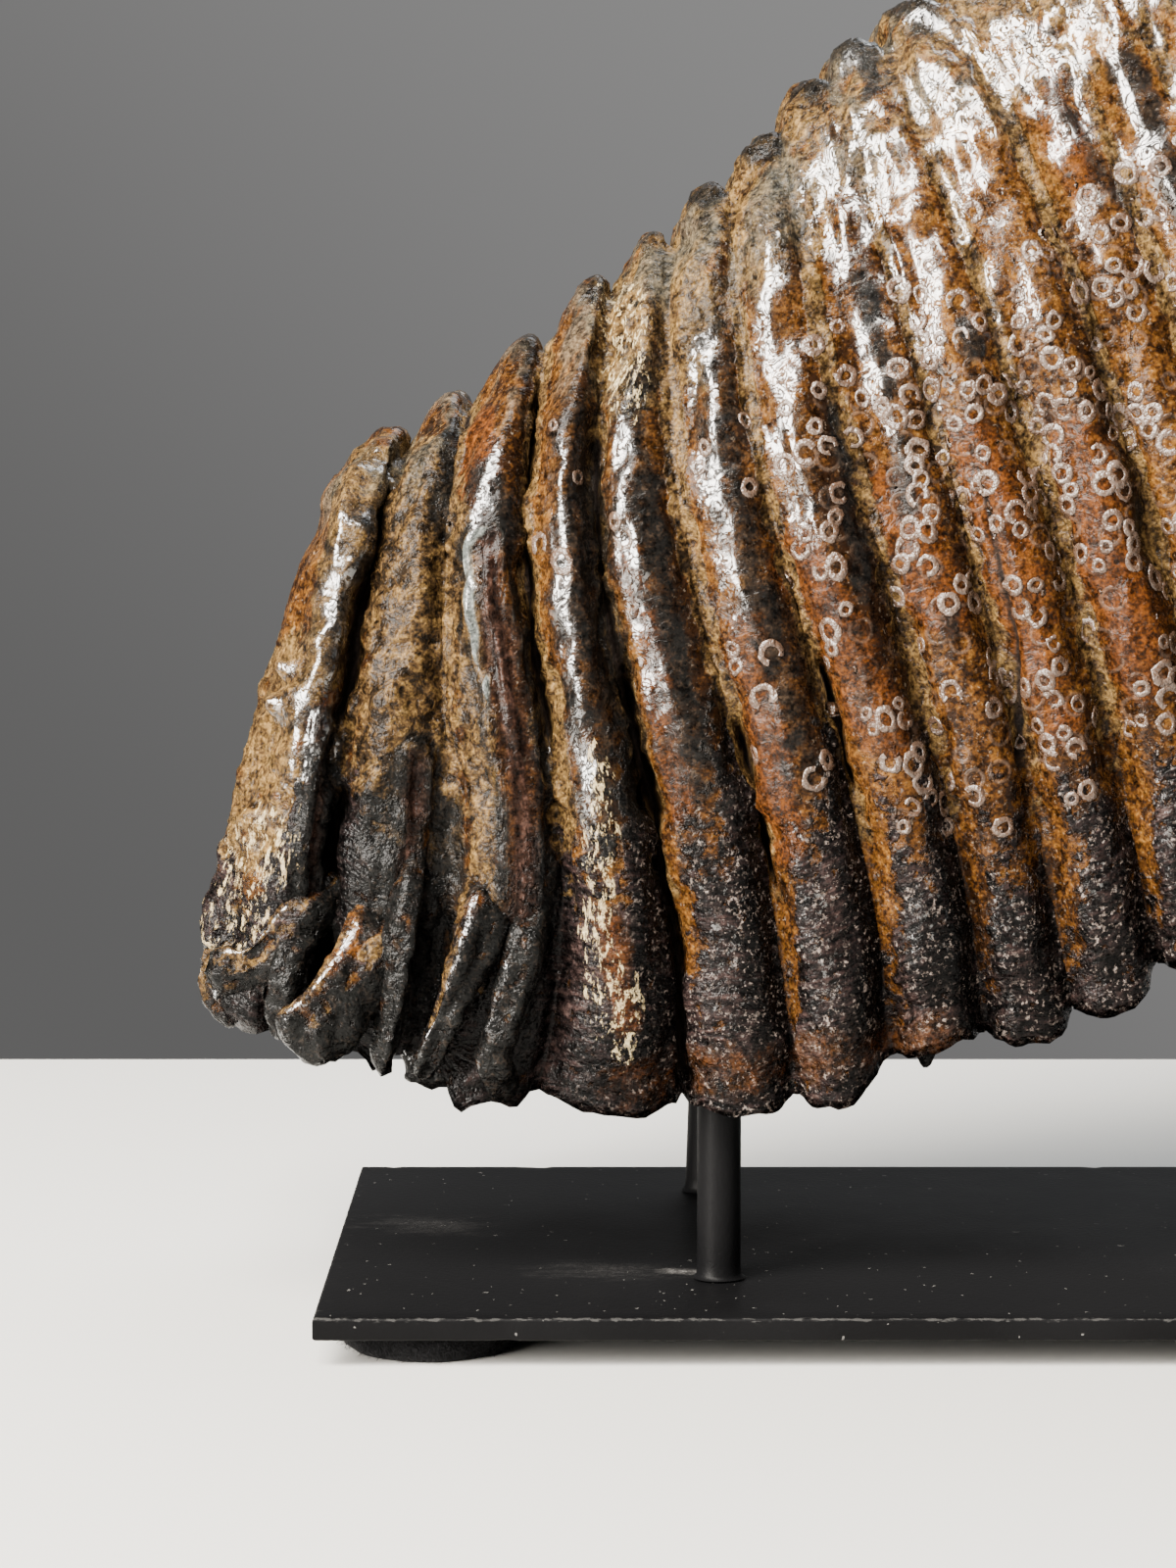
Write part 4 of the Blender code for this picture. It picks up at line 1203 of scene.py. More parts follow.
def tooth_material(sizes):
    material, nodes, inputs = new_material("varnished_fossil_enamel")
    place, crown = nodes.place(), nodes.value_of("crown", "Vector")
    up, plate, stain = (nodes.value_of(name) for name in ("height", "plate", "stain"))

    def stretched(across, along, of=crown):
        return nodes.vectors("MULTIPLY", of, (across, across, along))

    def patch_of(name, where=place):
        size, raggedness, softness = PATCHES[name]
        return nodes.group(
            "ragged_patch", Mask=nodes.value_of(name), Place=where, Size=size, Raggedness=raggedness,
            Softness=softness)

    broad = nodes.noise(stretched(1.0, 0.28), 0.0075, 3.0, 0.6)
    middle = nodes.noise(place, 0.0032, 3.0, 0.6)
    fine = nodes.group("fine_grain", Place=place, Size=0.0011, Swirl=0.4)
    fine_shade, centred = fine.also("Shade"), fine - 0.5
    dots, flecks = nodes.noise(place, 0.00075, 3.0, 0.7), nodes.noise(place, 0.0010, 3.0, 0.7)

    # Stained enamel with amber speckles and red stains, painted darker as shade on each ridge's front flank
    # and lighter as a highlight high on the front plates
    # Painted highlight: the upper parts of the front plates, from plate 8 on, are painted lighter
    painted_top_light = nodes.step(up, 0.66, 0.86) * nodes.step(plate, 8.0, 9.6)
    tone = nodes.blend(0.40, broad, middle) * 0.75 + 0.096 + centred * 0.85
    tone = tone - stain * 0.115 + painted_top_light * 0.085
    colour = nodes.ramp(
        tone, (0.37, sizes.umber), (0.50, sizes.amber), (0.62, sizes.ochre), (0.76, LIGHT_OCHRE))
    # Pale specks on the stained enamel that also paint its fine sparkle
    colour = nodes.mix(nodes.step(dots, 0.60, 0.68) * 0.45, colour, PALE_SPECKLE_AND_SPARKLE)
    rust = patch_of("rust")
    colour = nodes.mix(rust * 0.75, colour, nodes.mix(fine_shade, sizes.umber, sizes.rust))

    # Cement in the grooves, and grey tips
    cement = patch_of("cement")
    # The cement too is painted darker by the front-flank shade and the stains
    tone = middle * 0.60 + 0.235 + centred * 1.1 - stain * 0.100
    dark, brown, light = CEMENT_TONES
    colour = nodes.mix(cement, colour, nodes.ramp(
        tone, (0.34, dark), (0.47, brown), (0.60, sizes.cement), (0.80, light)))
    grey = nodes.step(up, 0.80, 0.96) * nodes.step(broad, 0.47, 0.60) * nodes.step(plate, 11.5, 10.0)
    colour = nodes.mix(grey * 0.7, colour, nodes.mix(fine_shade, *GREY_TONES))

    # Dark lower ends with pale specks that also paint glints, and black patches
    lines = nodes.noise(stretched(0.25, 1.0), 0.00085, 2.0, 0.6)
    burnt = patch_of("burnt")
    # The dark lower ends too are painted darker by the front-flank shade and the stains
    tone = nodes.blend(0.5, broad, fine) + (lines - 0.5) * 0.7 - stain * 0.100
    black, dark, light = BURNT_TONES
    burnt_colour = nodes.ramp(tone, (0.40, black), (0.52, dark), (0.63, sizes.burnt), (0.78, light))
    specks = nodes.step(dots, 0.55, 0.66) * nodes.step(middle, 0.40, 0.56, 0.15, 1.0)
    specks = specks * nodes.step(plate, 3.4, 4.6, 0.10, 1.0)
    burnt_colour = nodes.mix(specks, burnt_colour, PALE_SPECK_AND_GLINT)
    colour = nodes.mix(burnt * (1.0 - rust * 0.6), colour, burnt_colour)
    charcoal = patch_of("charcoal")
    charcoal_colour = nodes.mix(nodes.step(fine, 0.52, 0.66), sizes.charcoal, CHAR_BROWN)
    colour = nodes.mix(charcoal * 0.93, colour, charcoal_colour)

    # Faint rings, dentine, bare enamel and cream flecks
    x, _, z = nodes.parts(place)
    ring = nodes.group("faint_rings", Place=nodes.vector(x, z), Pitch=0.0046, Density=0.6)
    ring = ring * nodes.step(nodes.value_of("scars"), 0.15, 0.6)
    colour = nodes.mix(ring * 0.35, colour, FAINT_RING)
    tone = nodes.blend(0.5, nodes.noise(stretched(1.0, 0.10), 0.0012), fine)
    dentine_colour = nodes.ramp(tone, *zip((0.38, 0.52, 0.66), DENTINE_TONES))
    colour = nodes.mix(nodes.value_of("dentine") * 0.95, colour, dentine_colour)
    enamel = nodes.step(nodes.value_of("enamel"), 0.30, 0.62)
    tone = nodes.blend(0.5, nodes.noise(stretched(1.0, 0.14), 0.0009, 4.0, 0.7), fine)
    black, dark, light = ENAMEL_TONES
    colour = nodes.mix(enamel, colour, nodes.ramp(
        tone, (0.36, black), (0.46, dark), (0.55, sizes.enamel), (0.70, light)))
    cream = patch_of("cream", stretched(1.0, 0.45))
    cream = cream * nodes.step(nodes.noise(stretched(1.0, 0.35), 0.0008, 4.0, 0.75), 0.51, 0.56)
    colour = nodes.mix(cream, colour, nodes.mix(fine_shade, CREAM_SHADE, sizes.cream))

    # Painted shade: the gaps and the crack are painted near-black, and small pits darker
    dark = nodes.value_of("gap") | nodes.value_of("crack")
    colour = nodes.mix(nodes.step(dark, 0.25, 0.85), colour, GAP_SHADE)
    # Fine noise that darkens the colour: painted shade of small pits, and dark grain
    pit_shade_and_grain = nodes.step(nodes.noise(place, 0.0014, 6.0, 0.80), 0.36, 0.60, 0.14, 0.82)
    pit_shade_and_grain = nodes.mix(nodes.blend(cream | enamel * 0.8, pit_shade_and_grain, 1.0), BLACK, WHITE)
    colour = nodes.mix(1.0, colour, pit_shade_and_grain, "MULTIPLY")

    glints = nodes.step(flecks, 0.42, 0.52)
    rough = nodes.blend(fine_shade * 0.30, nodes.blend(cement, 0.10, 0.22), 0.24)
    rough = nodes.blend(burnt, rough, nodes.blend(glints, 0.30, 0.07))
    rough = nodes.blend(charcoal * 0.8, rough, nodes.blend(glints, 0.22, 0.06))
    wrinkles = nodes.noise(stretched(0.8, 1.2, place), 0.0018, 3.0, 0.6, 1.2)
    relief = middle * 0.26 + wrinkles * 0.25 + fine * nodes.blend(cement | burnt, 0.08, 0.40)
    relief = relief + lines * burnt * 0.30 + ring * 0.07

    # The varnish: a coat on the ridges, broken by wrinkles and flecks, and kept out of the gaps
    squiggle = nodes.noise(stretched(1.0, 0.8, place), 0.0020, 3.0, 0.6, 1.8)
    squiggle = nodes.step(nodes.math("ABSOLUTE", squiggle - 0.5), 0.030, 0.062)
    broken = nodes.step(plate, 8.0, 6.5, 0.25, 0.60) | burnt
    squiggle = squiggle * nodes.blend(broken, 1.0, nodes.step(flecks - burnt * 0.075, 0.43, 0.52))
    varnish = patch_of("polish") * squiggle * nodes.step(dark, 0.8, 0.2)
    dress_shader(
        nodes, inputs, Base_Color=colour, Roughness=nodes.blend(nodes.step(dark, 0.2, 0.8), rough, 0.7),
        Normal=nodes.bump(relief, 0.0010), Specular_IOR_Level=0.060, Coat_Weight=varnish,
        Coat_Roughness=0.15, Coat_IOR=1.85)
    return material


def scar_material(scars):
    material, nodes, inputs = new_material("barnacle_scar")
    place = nodes.place()
    grain = nodes.group("fine_grain", Place=place, Size=0.0009, Swirl=0.2)
    shade = grain.also("Shade")
    in_shade, worn_brown, at_foot = SCAR_TONES
    tone = nodes.mix(shade, in_shade, scars.shade)
    worn = nodes.mix(0.6, tone, worn_brown)
    tone = nodes.mix(nodes.step(nodes.noise(place, 0.006, 2.0), 0.44, 0.60), worn, tone)
    low = nodes.step(nodes.value_of("rise"), 0.00008, 0.00002)
    dress_shader(
        nodes, inputs, Base_Color=nodes.mix(low * 0.8, tone, at_foot),
        Roughness=nodes.blend(shade, 0.18, 0.34), Normal=nodes.bump(grain, 0.0005))
    return material


def steel_material(stand, name, size, smears=()):
    material, nodes, inputs = new_material(name)
    place = nodes.place()
    along = nodes.vectors("MULTIPLY", place, (0.35, 1.0, 1.0))
    grain = nodes.group("fine_grain", Place=place, Size=size, Swirl=0.0)
    broad = nodes.noise(place, 0.030, 3.0, 0.6)
    # Worn edges show pale primer, which along the plate's front upper edge also paints a highlight
    edge = nodes.group(
        "ragged_patch", Mask=nodes.value_of("worn"), Place=along, Size=0.0006, Raggedness=1.3, Softness=0.16)
    dust, streaky = 0.0, nodes.noise(along, 0.0028, 4.0, 0.65)
    for middle, reach, slant, strength in smears:
        offset = nodes.put("ShaderNodeMapping", {
            "Vector": place, "Location": middle, "Rotation": (0.0, 0.0, slant), "Scale": reach,
        }, vector_type="TEXTURE")
        far = nodes.put("ShaderNodeVectorMath", (offset,), "Value", operation="LENGTH")
        cloud = nodes.step(streaky * 2.4 + far, 2.20, 1.00) * strength
        dust = nodes.math("MAXIMUM", cloud, dust)
    dust = nodes.step(nodes.noise(place, 0.0009, 4.0, 0.8), 0.42, 0.66, 0.45, 1.6) * dust
    specks = nodes.step(nodes.noise(place, 0.0011, 1.0), 0.76, 0.785)
    tone = nodes.mix(nodes.step(broad, 0.35, 0.65), stand.steel, tinted(stand.steel, 1.35))
    tone = nodes.mix(dust, tone, DUST)
    tone = nodes.mix(specks * 0.20, tone, DUST_SPECK)
    rough = nodes.blend(nodes.step(broad, 0.3, 0.7), 0.42, 0.50)
    dress_shader(
        nodes, inputs, Base_Color=nodes.mix(edge * 0.38, tone, stand.bare_edge_and_highlight),
        Roughness=nodes.blend(dust | edge, rough, 0.65), Normal=nodes.bump(grain, 0.00008, 0.7),
        Specular_IOR_Level=0.045)
    return material


def felt_material(stand):
    material, nodes, inputs = new_material("black_felt")
    grain = nodes.group("fine_grain", Place=nodes.place(), Size=0.0009, Swirl=1.5)
    shade = grain.also("Shade")
    dress_shader(
        nodes, inputs, Base_Color=nodes.mix(shade, tinted(stand.felt, 0.55), tinted(stand.felt, 2.2)),
        Roughness=nodes.blend(shade, 0.90, 1.0), Normal=nodes.bump(grain, 0.0006), Sheen_Weight=0.04,
        Sheen_Roughness=0.5, Specular_IOR_Level=0.040)
    return material


# --- geometry node trees ---


def barnacle_scars(nodes, given):
    """Walls of ring scars, scattered where the surface's scars value is high."""
    surface, at = given["Geometry"], nodes.put("GeometryNodeInputPosition")
    spread = nodes.put("GeometryNodeDistributePointsOnFaces", {
        "Mesh": surface, "Distance Min": given["Spacing"], "Density Max": given["Density"],
        "Density Factor": nodes.named("scars"), "Seed": given["Seed"],
    }, distribute_method="POISSON")
    half, crest, tall = given["Wall Width"] * 0.5, given["Wall Width"] * 0.34, given["Wall Height"]
    # Each kind comes worn flat, without a rise, and raised
    kinds = []
    for sweep, share, stretch in SCAR_RINGS:
        arc = nodes.put("GeometryNodeCurveArc", {
            "Resolution": 15, "Radius": given["Ring Radius"] * share, "Sweep Angle": math.radians(sweep)})
        outline = nodes.put("GeometryNodeCurvePrimitiveQuadrilateral", {
            "Point 1": nodes.vector(half * -1.0, 0.0), "Point 2": nodes.vector(crest * -1.0, tall),
            "Point 3": nodes.vector(crest, tall), "Point 4": nodes.vector(half, 0.0),
        }, mode="POINTS")
        wall = nodes.put("GeometryNodeTransform", {
            "Geometry": nodes.swept(arc, outline), "Scale": (stretch, 1.0, 1.0)})
        raised = nodes.put("GeometryNodeStoreNamedAttribute", {
            "Geometry": wall, "Name": "rise", "Value": nodes.math("ABSOLUTE", nodes.parts(at)[2]),
        }, data_type="FLOAT", domain="POINT")
        kinds.append(nodes.joined(wall, raised, kind="GeometryNodeGeometryToInstance"))
    around = nodes.put("FunctionNodeAxisAngleToRotation", {
        "Axis": (0.0, 0.0, 1.0), "Angle": nodes.chance("FLOAT", 0.0, 6.283, 5)})
    placed = nodes.put("GeometryNodeInstanceOnPoints", {
        "Points": spread, "Instance": nodes.joined(*kinds), "Pick Instance": True,
        "Instance Index": nodes.chance("INT", 0, len(SCAR_RINGS) - 1, 3),
        "Rotation": nodes.turned(spread.also("Rotation"), around),
        "Scale": nodes.chance("FLOAT", 0.72, 1.22, 9)})
    real = nodes.put("GeometryNodeRealizeInstances", (placed,))

    # Each wall bends onto the surface under it
    swirl = nodes.put("ShaderNodeTexNoise", {"Vector": at, "Scale": 700.0}, "Color")
    loose = nodes.vectors("MULTIPLY_ADD", nodes.vectors("SUBTRACT", swirl, (0.5,) * 3), (0.0011,) * 3, at)
    under, facing = (
        nodes.put("GeometryNodeSampleNearestSurface", {
            "Mesh": surface, "Value": field, "Sample Position": loose,
        }, "Value", data_type="FLOAT_VECTOR") for field in (at, nodes.put("GeometryNodeInputNormal")))
    lift = nodes.put("ShaderNodeVectorMath", {
        "Vector": facing, "Scale": nodes.named("rise") - SCAR_SINK}, operation="SCALE")
    bent = nodes.put("GeometryNodeSetPosition", {
        "Geometry": real, "Position": nodes.vectors("ADD", under, lift)})
    return {"Geometry": nodes.painted(bent, given["Material"])}


def felt_fuzz(nodes, given):
    """Short fibres round a felt pad, where its rim value is high."""
    surface, tall = given["Geometry"], given["Fibre Length"]
    spread = nodes.put("GeometryNodeDistributePointsOnFaces", {
        "Mesh": surface, "Density": nodes.named("rim") * given["Density"], "Seed": given["Seed"],
    }, distribute_method="RANDOM")
    lean = nodes.vector(None, None, tall * 0.6)
    strand = nodes.put("GeometryNodeCurvePrimitiveBezierSegment", {
        "Resolution": 4, "Start": (0.0, 0.0, 0.0), "Start Handle": lean, "End Handle": lean,
        "End": nodes.vector(tall * 0.5, None, tall)})
    outline = nodes.put("GeometryNodeCurvePrimitiveCircle", {
        "Resolution": 3, "Radius": given["Fibre Radius"]})
    any_way = nodes.chance("FLOAT_VECTOR", (-0.7, -0.7, 0.0), (0.7, 0.7, 6.283))
    around = nodes.put("FunctionNodeEulerToRotation", (any_way,))
    placed = nodes.put("GeometryNodeInstanceOnPoints", {
        "Points": spread, "Instance": nodes.swept(strand, outline),
        "Rotation": nodes.turned(spread.also("Rotation"), around), "Scale": nodes.chance("FLOAT", 0.4, 1.0)})
    real = nodes.put("GeometryNodeRealizeInstances", (placed,))
    # Nothing sinks into the table
    x, y, z = nodes.parts(nodes.put("GeometryNodeInputPosition"))
    above = nodes.put("GeometryNodeSetPosition", {
        "Geometry": real, "Position": nodes.vector(x, y, nodes.math("MAXIMUM", z, TABLE_CLEARANCE))})
    return {"Geometry": nodes.painted(nodes.joined(surface, above), given["Material"])}


# Each group's maker and inputs, with defaults where a shader group needs them
GROUP_MAKERS = {
    "ragged_patch": (ragged_patch, {
        "Mask": 0.0, "Place": None, "Size": 0.002, "Raggedness": 1.0, "Softness": 0.08}, ("Share",)),
    "fine_grain": (fine_grain, {"Place": None, "Size": 0.001, "Swirl": 0.3}, ("Height", "Shade")),
    "faint_rings": (faint_rings, {"Place": None, "Pitch": 0.0040, "Density": 0.5}, ("Ring",)),
    "barnacle_scars": (barnacle_scars, {
        "Geometry": None, "Density": None, "Spacing": None, "Ring Radius": None, "Wall Width": None,
        "Wall Height": None, "Seed": None, "Material": None}, ("Geometry",)),
    "felt_fuzz": (felt_fuzz, {
        "Geometry": None, "Density": None, "Fibre Length": None, "Fibre Radius": None, "Seed": None,
        "Material": None}, ("Geometry",)),
}
SOCKET_KINDS = {"Place": "Vector", "Seed": "Int", "Geometry": "Geometry", "Material": "Material"}


def node_group(name):
    """The node group of this name, built when it is first asked for."""
    tree = bpy.data.node_groups.get(name)
    if tree:
        return tree
    make, inputs, outputs = GROUP_MAKERS[name]
    tree = bpy.data.node_groups.new(name, "GeometryNodeTree" if "Geometry" in outputs else "ShaderNodeTree")
    for label, default in inputs.items():
        kind = "NodeSocket" + SOCKET_KINDS.get(label, "Float")
        socket = tree.interface.new_socket(label, in_out="INPUT", socket_type=kind)
        if default is not None:
            socket.default_value = default
    for label in outputs:
        kind = "NodeSocket" + SOCKET_KINDS.get(label, "Float")
        tree.interface.new_socket(label, in_out="OUTPUT", socket_type=kind)
    nodes = Nodes(tree)
    first = nodes.put("NodeGroupInput")
    made = make(nodes, {label: first.also(label) for label in inputs})
    ends = tree.nodes.new("NodeGroupOutput").inputs
    for label in outputs:
        nodes.feed(ends[label], made[label])
    return tree


def run_tree(name, source, group, given, material):
    """Applies a geometry group to a mesh and returns the result as a plain piece."""
    holder = new_object(name + "_source", source)
    modifier = holder.modifiers.new(name, "NODES")
    modifier.node_group = node_group(group)
    given = {**given, "Material": material}
    for item in modifier.node_group.interface.items_tree:
        if item.item_type == "SOCKET" and item.in_out == "INPUT" and item.name in given:
            modifier[item.identifier] = given[item.name]
    bpy.context.view_layer.update()
    shown = holder.evaluated_get(bpy.context.evaluated_depsgraph_get())
    mesh = bpy.data.meshes.new_from_object(shown)
    mesh.name = name
    if not mesh.polygons:
        raise RuntimeError(f"{name} came out empty")
    bpy.data.objects.remove(holder, do_unlink=True)
    return new_piece(name, mesh, material)


# --- stand ---


def smooth_rod(low, high, radius, lean, bead):
    """A round bar with a paint bead round its foot, closed at both ends."""
    tall = high.z - low.z
    rows = [(0.0, radius + bead), (bead * 0.35, radius + bead * 0.42), (bead * 1.1, radius + bead * 0.06)]
    rows += [(rise, radius) for rise in np.linspace(0.002, tall, 24)]
    foot = Vector(((low.x + high.x) / 2 - lean / 2, (low.y + high.y) / 2, low.z))
    points = []
    for rise, wide in rows:
        uneven = 0.20 * (wide / radius - 1.0) if wide > radius * 1.01 else 0.0
        for i in range(ROD_POINTS):
            turn = 2.0 * math.pi * i / ROD_POINTS
            out = wide * (1.0 + uneven * math.sin(3.0 * turn + foot.x * 90.0))
            x = foot.x + lean * rise / tall + out * math.cos(turn)
            points.append((x, foot.y + out * math.sin(turn), foot.z + rise))
    return np.array(points), closed_faces(len(rows), ROD_POINTS)


def rounded_plate(low, high, edge):
    """The steel plate with softly rounded edges and small nicks along them."""
    middle, half = (low + high) / 2, (high - low) / 2
    corners, sides = ((-1, -1), (1, -1), (1, 1), (-1, 1)), []
    for start, end, count in zip(corners, corners[1:] + corners[:1], (160, 80, 160, 80)):
        sides += [tuple(a + (b - a) * i / count for a, b in zip(start, end)) for i in range(count)]
    x, y = np.array(sides).T
    quarter = np.linspace(0.0, math.pi / 2, 5)
    rows = [(edge * (1.0 - math.sin(a)), -half.z + edge * (1.0 - math.cos(a))) for a in quarter]
    rows += [(edge * (1.0 - math.cos(a)), half.z - edge * (1.0 - math.sin(a))) for a in quarter]
    rows = [(edge * 6.0, -half.z), *rows, (edge * 6.0, half.z)]
    points = np.concatenate([
        np.stack([x * (half.x - inset), y * (half.y - inset), 0.0 * x + z], axis=1) for inset, z in rows
    ]) + np.array(middle)
    rounded = np.repeat([0.0, *[1.0] * (len(rows) - 2), 0.0], len(sides))
    nick = ease(0.45, 0.9, bumps(points * (1.0, 1.0, 0.2), 0.0035, 201)) * NICK_DEPTH * rounded
    inward = np.sign(np.array(middle) - points) * (0.3, 1.0, 1.0)
    return points + inward * nick[:, None], closed_faces(len(rows), len(sides))


def edge_wear_and_highlight(points):
    """0 to 1, how far the paint is worn through along the plate's upper edges; the thin line along the front
    upper edge also paints that edge's highlight.
    """
    x, y, z = points.T
    front, top = PLATE_LOW.y, PLATE_HIGH.z
    worn = 0.95 * bell(np.hypot(y - front, z - top), 0.00032)
    worn += 0.25 * bell(np.hypot(np.abs(x) - PLATE_HIGH.x, z - top), 0.0006)
    worn += 0.35 * bell(np.hypot(y + front, z - top), 0.0006)
    return np.clip(worn, 0.0, 1.0)


def pad_mesh(name, low, high):
    """A felt disc: slightly domed sides, a soft upper edge and an uneven rim."""
    centre, radius, tall = (low + high) / 2, (high.x - low.x) / 2, high.z - low.z
    points, rim = [], []
    for share, up in PAD_OUTLINE:
        for i in range(PAD_POINTS):
            turn = 2.0 * math.pi * i / PAD_POINTS
            out_x, out_y = radius * share * math.cos(turn), radius * share * math.sin(turn)
            points.append((centre.x + out_x, centre.y + out_y, low.z + tall * up))
            rim.append(1.0 if share > 0.95 else 0.12 if share > 0.9 else 0.0)
    points, rim = np.array(points), np.array(rim)
    rough = FELT_ROUGHNESS * layered(points, 0.0016, 301, 2) - FELT_ROUGHNESS
    away = (points - np.array(centre)) * (1.0, 1.0, 0.0)
    away = away / np.maximum(lengths_of(away), 1e-9)[:, None]
    points = points + away * (rough * rim)[:, None]
    return mesh_from(name, points, closed_faces(len(PAD_OUTLINE), PAD_POINTS), rim=rim)


# --- operators ---


def dress(piece, slot_name, *nodes):
    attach(piece, "root")
    if nodes:
        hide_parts(*nodes)


class MOLAR_OT_crown(bpy.types.Operator):
    """Builds the tooth's crown with its plates, grooves, enamel loops and stains"""

    bl_idname = "molar.crown"
    bl_label = "Crown"

    def execute(self, context):
        sizes = context.scene.molar_sizes
        piece = new_piece("fossil_tooth", build_tooth(sizes), tooth_material(sizes))
        dress(piece, "fossil_tooth", "tooth")
        return {"FINISHED"}


class MOLAR_OT_torn_ends(bpy.types.Operator):
    """Builds the torn tongues of enamel under the rear plates"""

    bl_idname = "molar.torn_ends"
    bl_label = "Torn Ends"

    def execute(self, context):
        material = bpy.data.materials.get("varnished_fossil_enamel")
        if material is None:
            raise RuntimeError("the crown is made first")
        piece = new_piece("torn_ends", build_torn_ends(), material)
        dress(piece, "fossil_tooth")
        return {"FINISHED"}


class MOLAR_OT_scars(bpy.types.Operator):
    """Scatters the round barnacle scars over the flanks"""

    bl_idname = "molar.scars"
    bl_label = "Barnacle Scars"

    def execute(self, context):
        scars = context.scene.molar_scars
        tooth = bpy.data.objects.get("fossil_tooth")
        if tooth is None:
            raise RuntimeError("the crown is made first")
        given = {
            "Density": scars.density, "Spacing": scars.spacing, "Ring Radius": scars.radius,
            "Wall Width": scars.width, "Wall Height": scars.height, "Seed": scars.seed,
        }
        piece = run_tree("barnacle_scars", tooth.data.copy(), "barnacle_scars", given, scar_material(scars))
        for name in {"scars", "crown", "plate"} & set(piece.data.attributes.keys()):
            piece.data.attributes.remove(piece.data.attributes[name])
        piece.data.shade_smooth()
        dress(piece, "fossil_tooth")
        return {"FINISHED"}


class MOLAR_OT_base_plate(bpy.types.Operator):
    """Builds the black steel plate with its worn front edge, whose pale line also paints the edge's
    highlight
    """

    bl_idname = "molar.base_plate"
    bl_label = "Base Plate"

    def execute(self, context):
        stand = context.scene.molar_stand
        points, faces = rounded_plate(PLATE_LOW, PLATE_HIGH, stand.edge_round)
        mesh = mesh_from("steel_plate", points, faces, worn=edge_wear_and_highlight(points))
        mesh.set_sharp_from_angle(angle=math.radians(60))
        material = steel_material(stand, "satin_black_plate", 0.0009, PLATE_SMEARS)
        dress(new_piece("steel_plate", mesh, material), "black_steel", "base_plate")
        return {"FINISHED"}


class MOLAR_OT_rods(bpy.types.Operator):
    """Builds the four black rods that carry the tooth"""

    bl_idname = "molar.rods"
    bl_label = "Rods"

    def execute(self, context):
        stand = context.scene.molar_stand
        material = steel_material(stand, "satin_black_rod", 0.0007)
        for node in ROD_NODES:
            low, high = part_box(node)
            slack = (high.x - low.x) - stand.rod_diameter
            lean = math.copysign(max(slack, 0.0), -(low.x + high.x))
            points, faces = smooth_rod(low, high, stand.rod_diameter / 2, lean, stand.foot_bead)
            mesh = mesh_from("steel_" + node, points, faces, worn=np.zeros(len(points)))
            mesh.set_sharp_from_angle(angle=math.radians(50))
            dress(new_piece("steel_" + node, mesh, material), "black_steel", node)
        return {"FINISHED"}


class MOLAR_OT_felt_pads(bpy.types.Operator):
    """Builds the four felt pads with their fuzzy rims"""

    bl_idname = "molar.felt_pads"
    bl_label = "Felt Pads"

    def execute(self, context):
        stand = context.scene.molar_stand
        material = felt_material(stand)
        for number, node in enumerate(PAD_NODES):
            given = {
                "Density": stand.fuzz_density, "Fibre Length": stand.fuzz_length,
                "Fibre Radius": FIBRE_RADIUS, "Seed": FIRST_FUZZ_SEED + number,
            }
            disc = pad_mesh(node + "_disc", *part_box(node))
            dress(run_tree("fuzzy_" + node, disc, "felt_fuzz", given, material), "black_felt", node)
        return {"FINISHED"}


def build_floor(look):
    shape = bmesh.new()
    bmesh.ops.create_cube(shape, size=1.0)
    bmesh.ops.scale(shape, vec=FLOOR_SIZE, verts=shape.verts)
    middle = (0.0, FLOOR_BACK - FLOOR_SIZE[1] / 2, -FLOOR_SIZE[2] / 2)
    bmesh.ops.translate(shape, vec=middle, verts=shape.verts)
    bmesh.ops.bevel(shape, geom=shape.edges[:], offset=0.002, segments=3, affect="EDGES")
    mesh = bpy.data.meshes.new("floor")
    shape.to_mesh(mesh)
    shape.free()
    material, nodes, inputs = new_material("pale_floor")
    tone = nodes.mix(nodes.noise(nodes.place(), 0.35, 2.0), look.floor, tinted(look.floor, 0.95))
    dress_shader(nodes, inputs, Base_Color=tone, Roughness=0.38)
    return new_piece("floor", mesh, material)


def grey_backdrop(look):
    world = bpy.data.worlds.new("grey_backdrop")
    world.use_nodes = True
    air = Nodes(world.node_tree)
    x, y, z = air.parts(air.put("ShaderNodeTexCoord", out="Generated"))
    behind = air.mix(air.step(x * 0.9 + z, -0.30, 0.36), tinted(look.backdrop, 0.41), look.backdrop)
    shade = air.mix(air.step(y, -0.1, 0.7), look.room, behind)
    air.feed(world.node_tree.nodes["Background"].inputs["Color"], shade)
    return world


def soft_light(name, direction, distance, size, power, tint):
    lamp = bpy.data.lights.new(name, "AREA")
    lamp.shape = "RECTANGLE"
    lamp.size, lamp.size_y = size
    lamp.energy, lamp.color = power, tint
    light = new_object(name, lamp)
    light.location = LIGHT_AIM + Vector(direction).normalized() * distance
    light.rotation_euler = (LIGHT_AIM - light.location).to_track_quat("-Z", "Y").to_euler()


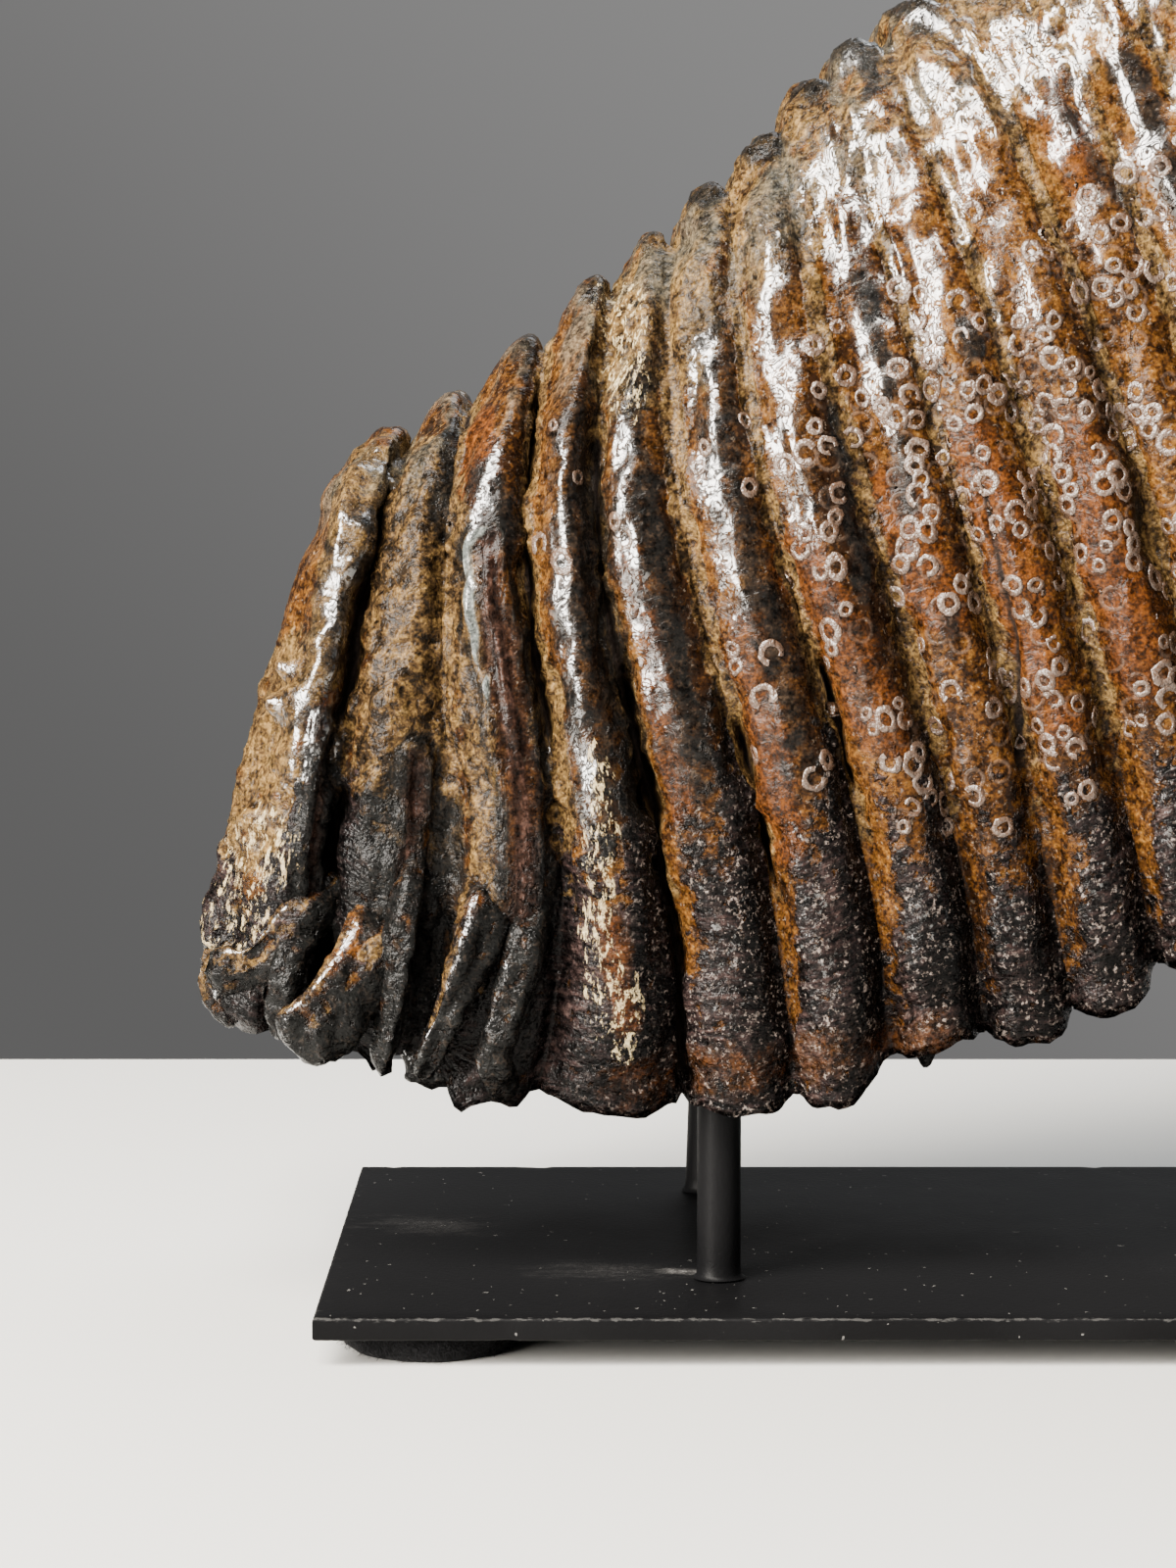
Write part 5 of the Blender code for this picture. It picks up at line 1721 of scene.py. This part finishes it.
class MOLAR_OT_stage(bpy.types.Operator):
    """Sets the pale floor, the grey backdrop, the soft lights and the camera"""

    bl_idname = "molar.stage"
    bl_label = "Stage"

    def execute(self, context):
        look = context.scene.molar_stage
        floor = build_floor(look)
        context.scene.world = grey_backdrop(look)
        for name, direction, distance, size, tint in LIGHTS:
            soft_light(name + "_light", direction, distance, size, getattr(look, name + "_power"), tint)
        lens = bpy.data.cameras.new("camera")
        lens.lens, lens.sensor_width, lens.sensor_fit = look.lens, SENSOR_WIDTH, "AUTO"
        camera = new_object("camera", lens)
        camera.location = CAMERA_PLACE
        camera.rotation_euler = (math.radians(90.0 - CAMERA_DIP), 0.0, 0.0)
        context.scene.camera = camera
        return {"FINISHED"}


class MOLAR_PT_panel(bpy.types.Panel):
    """Lists the molar's pieces in the sidebar"""

    bl_idname = "MOLAR_PT_panel"
    bl_label = "Mammoth Molar"
    bl_space_type = "VIEW_3D"
    bl_region_type = "UI"
    bl_category = "Mammoth Molar"

    def draw(self, context):
        for operator in OPERATORS:
            self.layout.operator(operator.bl_idname)
        for name in GROUPS:
            group = getattr(context.scene, name)
            box = self.layout.box()
            for field in group.bl_rna.properties:
                if field.identifier not in ("rna_type", "name"):
                    box.prop(group, field.identifier)


OPERATORS = (
    MOLAR_OT_crown, MOLAR_OT_torn_ends, MOLAR_OT_scars, MOLAR_OT_base_plate,
    MOLAR_OT_rods, MOLAR_OT_felt_pads, MOLAR_OT_stage,
)
GROUPS = {
    "molar_sizes": MolarSizes, "molar_scars": ScarSizes, "molar_stand": StandSizes, "molar_stage": StageLook,
}


def register():
    for item in (*GROUPS.values(), *OPERATORS, MOLAR_PT_panel):
        bpy.utils.register_class(item)
    for name, group in GROUPS.items():
        setattr(bpy.types.Scene, name, PointerProperty(type=group))


def unregister():
    for name in GROUPS:
        delattr(bpy.types.Scene, name)
    for item in (MOLAR_PT_panel, *reversed(OPERATORS), *GROUPS.values()):
        bpy.utils.unregister_class(item)


def main():
    register()
    for name in ("crown", "torn_ends", "scars", "base_plate", "rods", "felt_pads", "stage"):
        getattr(bpy.ops.molar, name)()


if __name__ == "__main__":
    main()
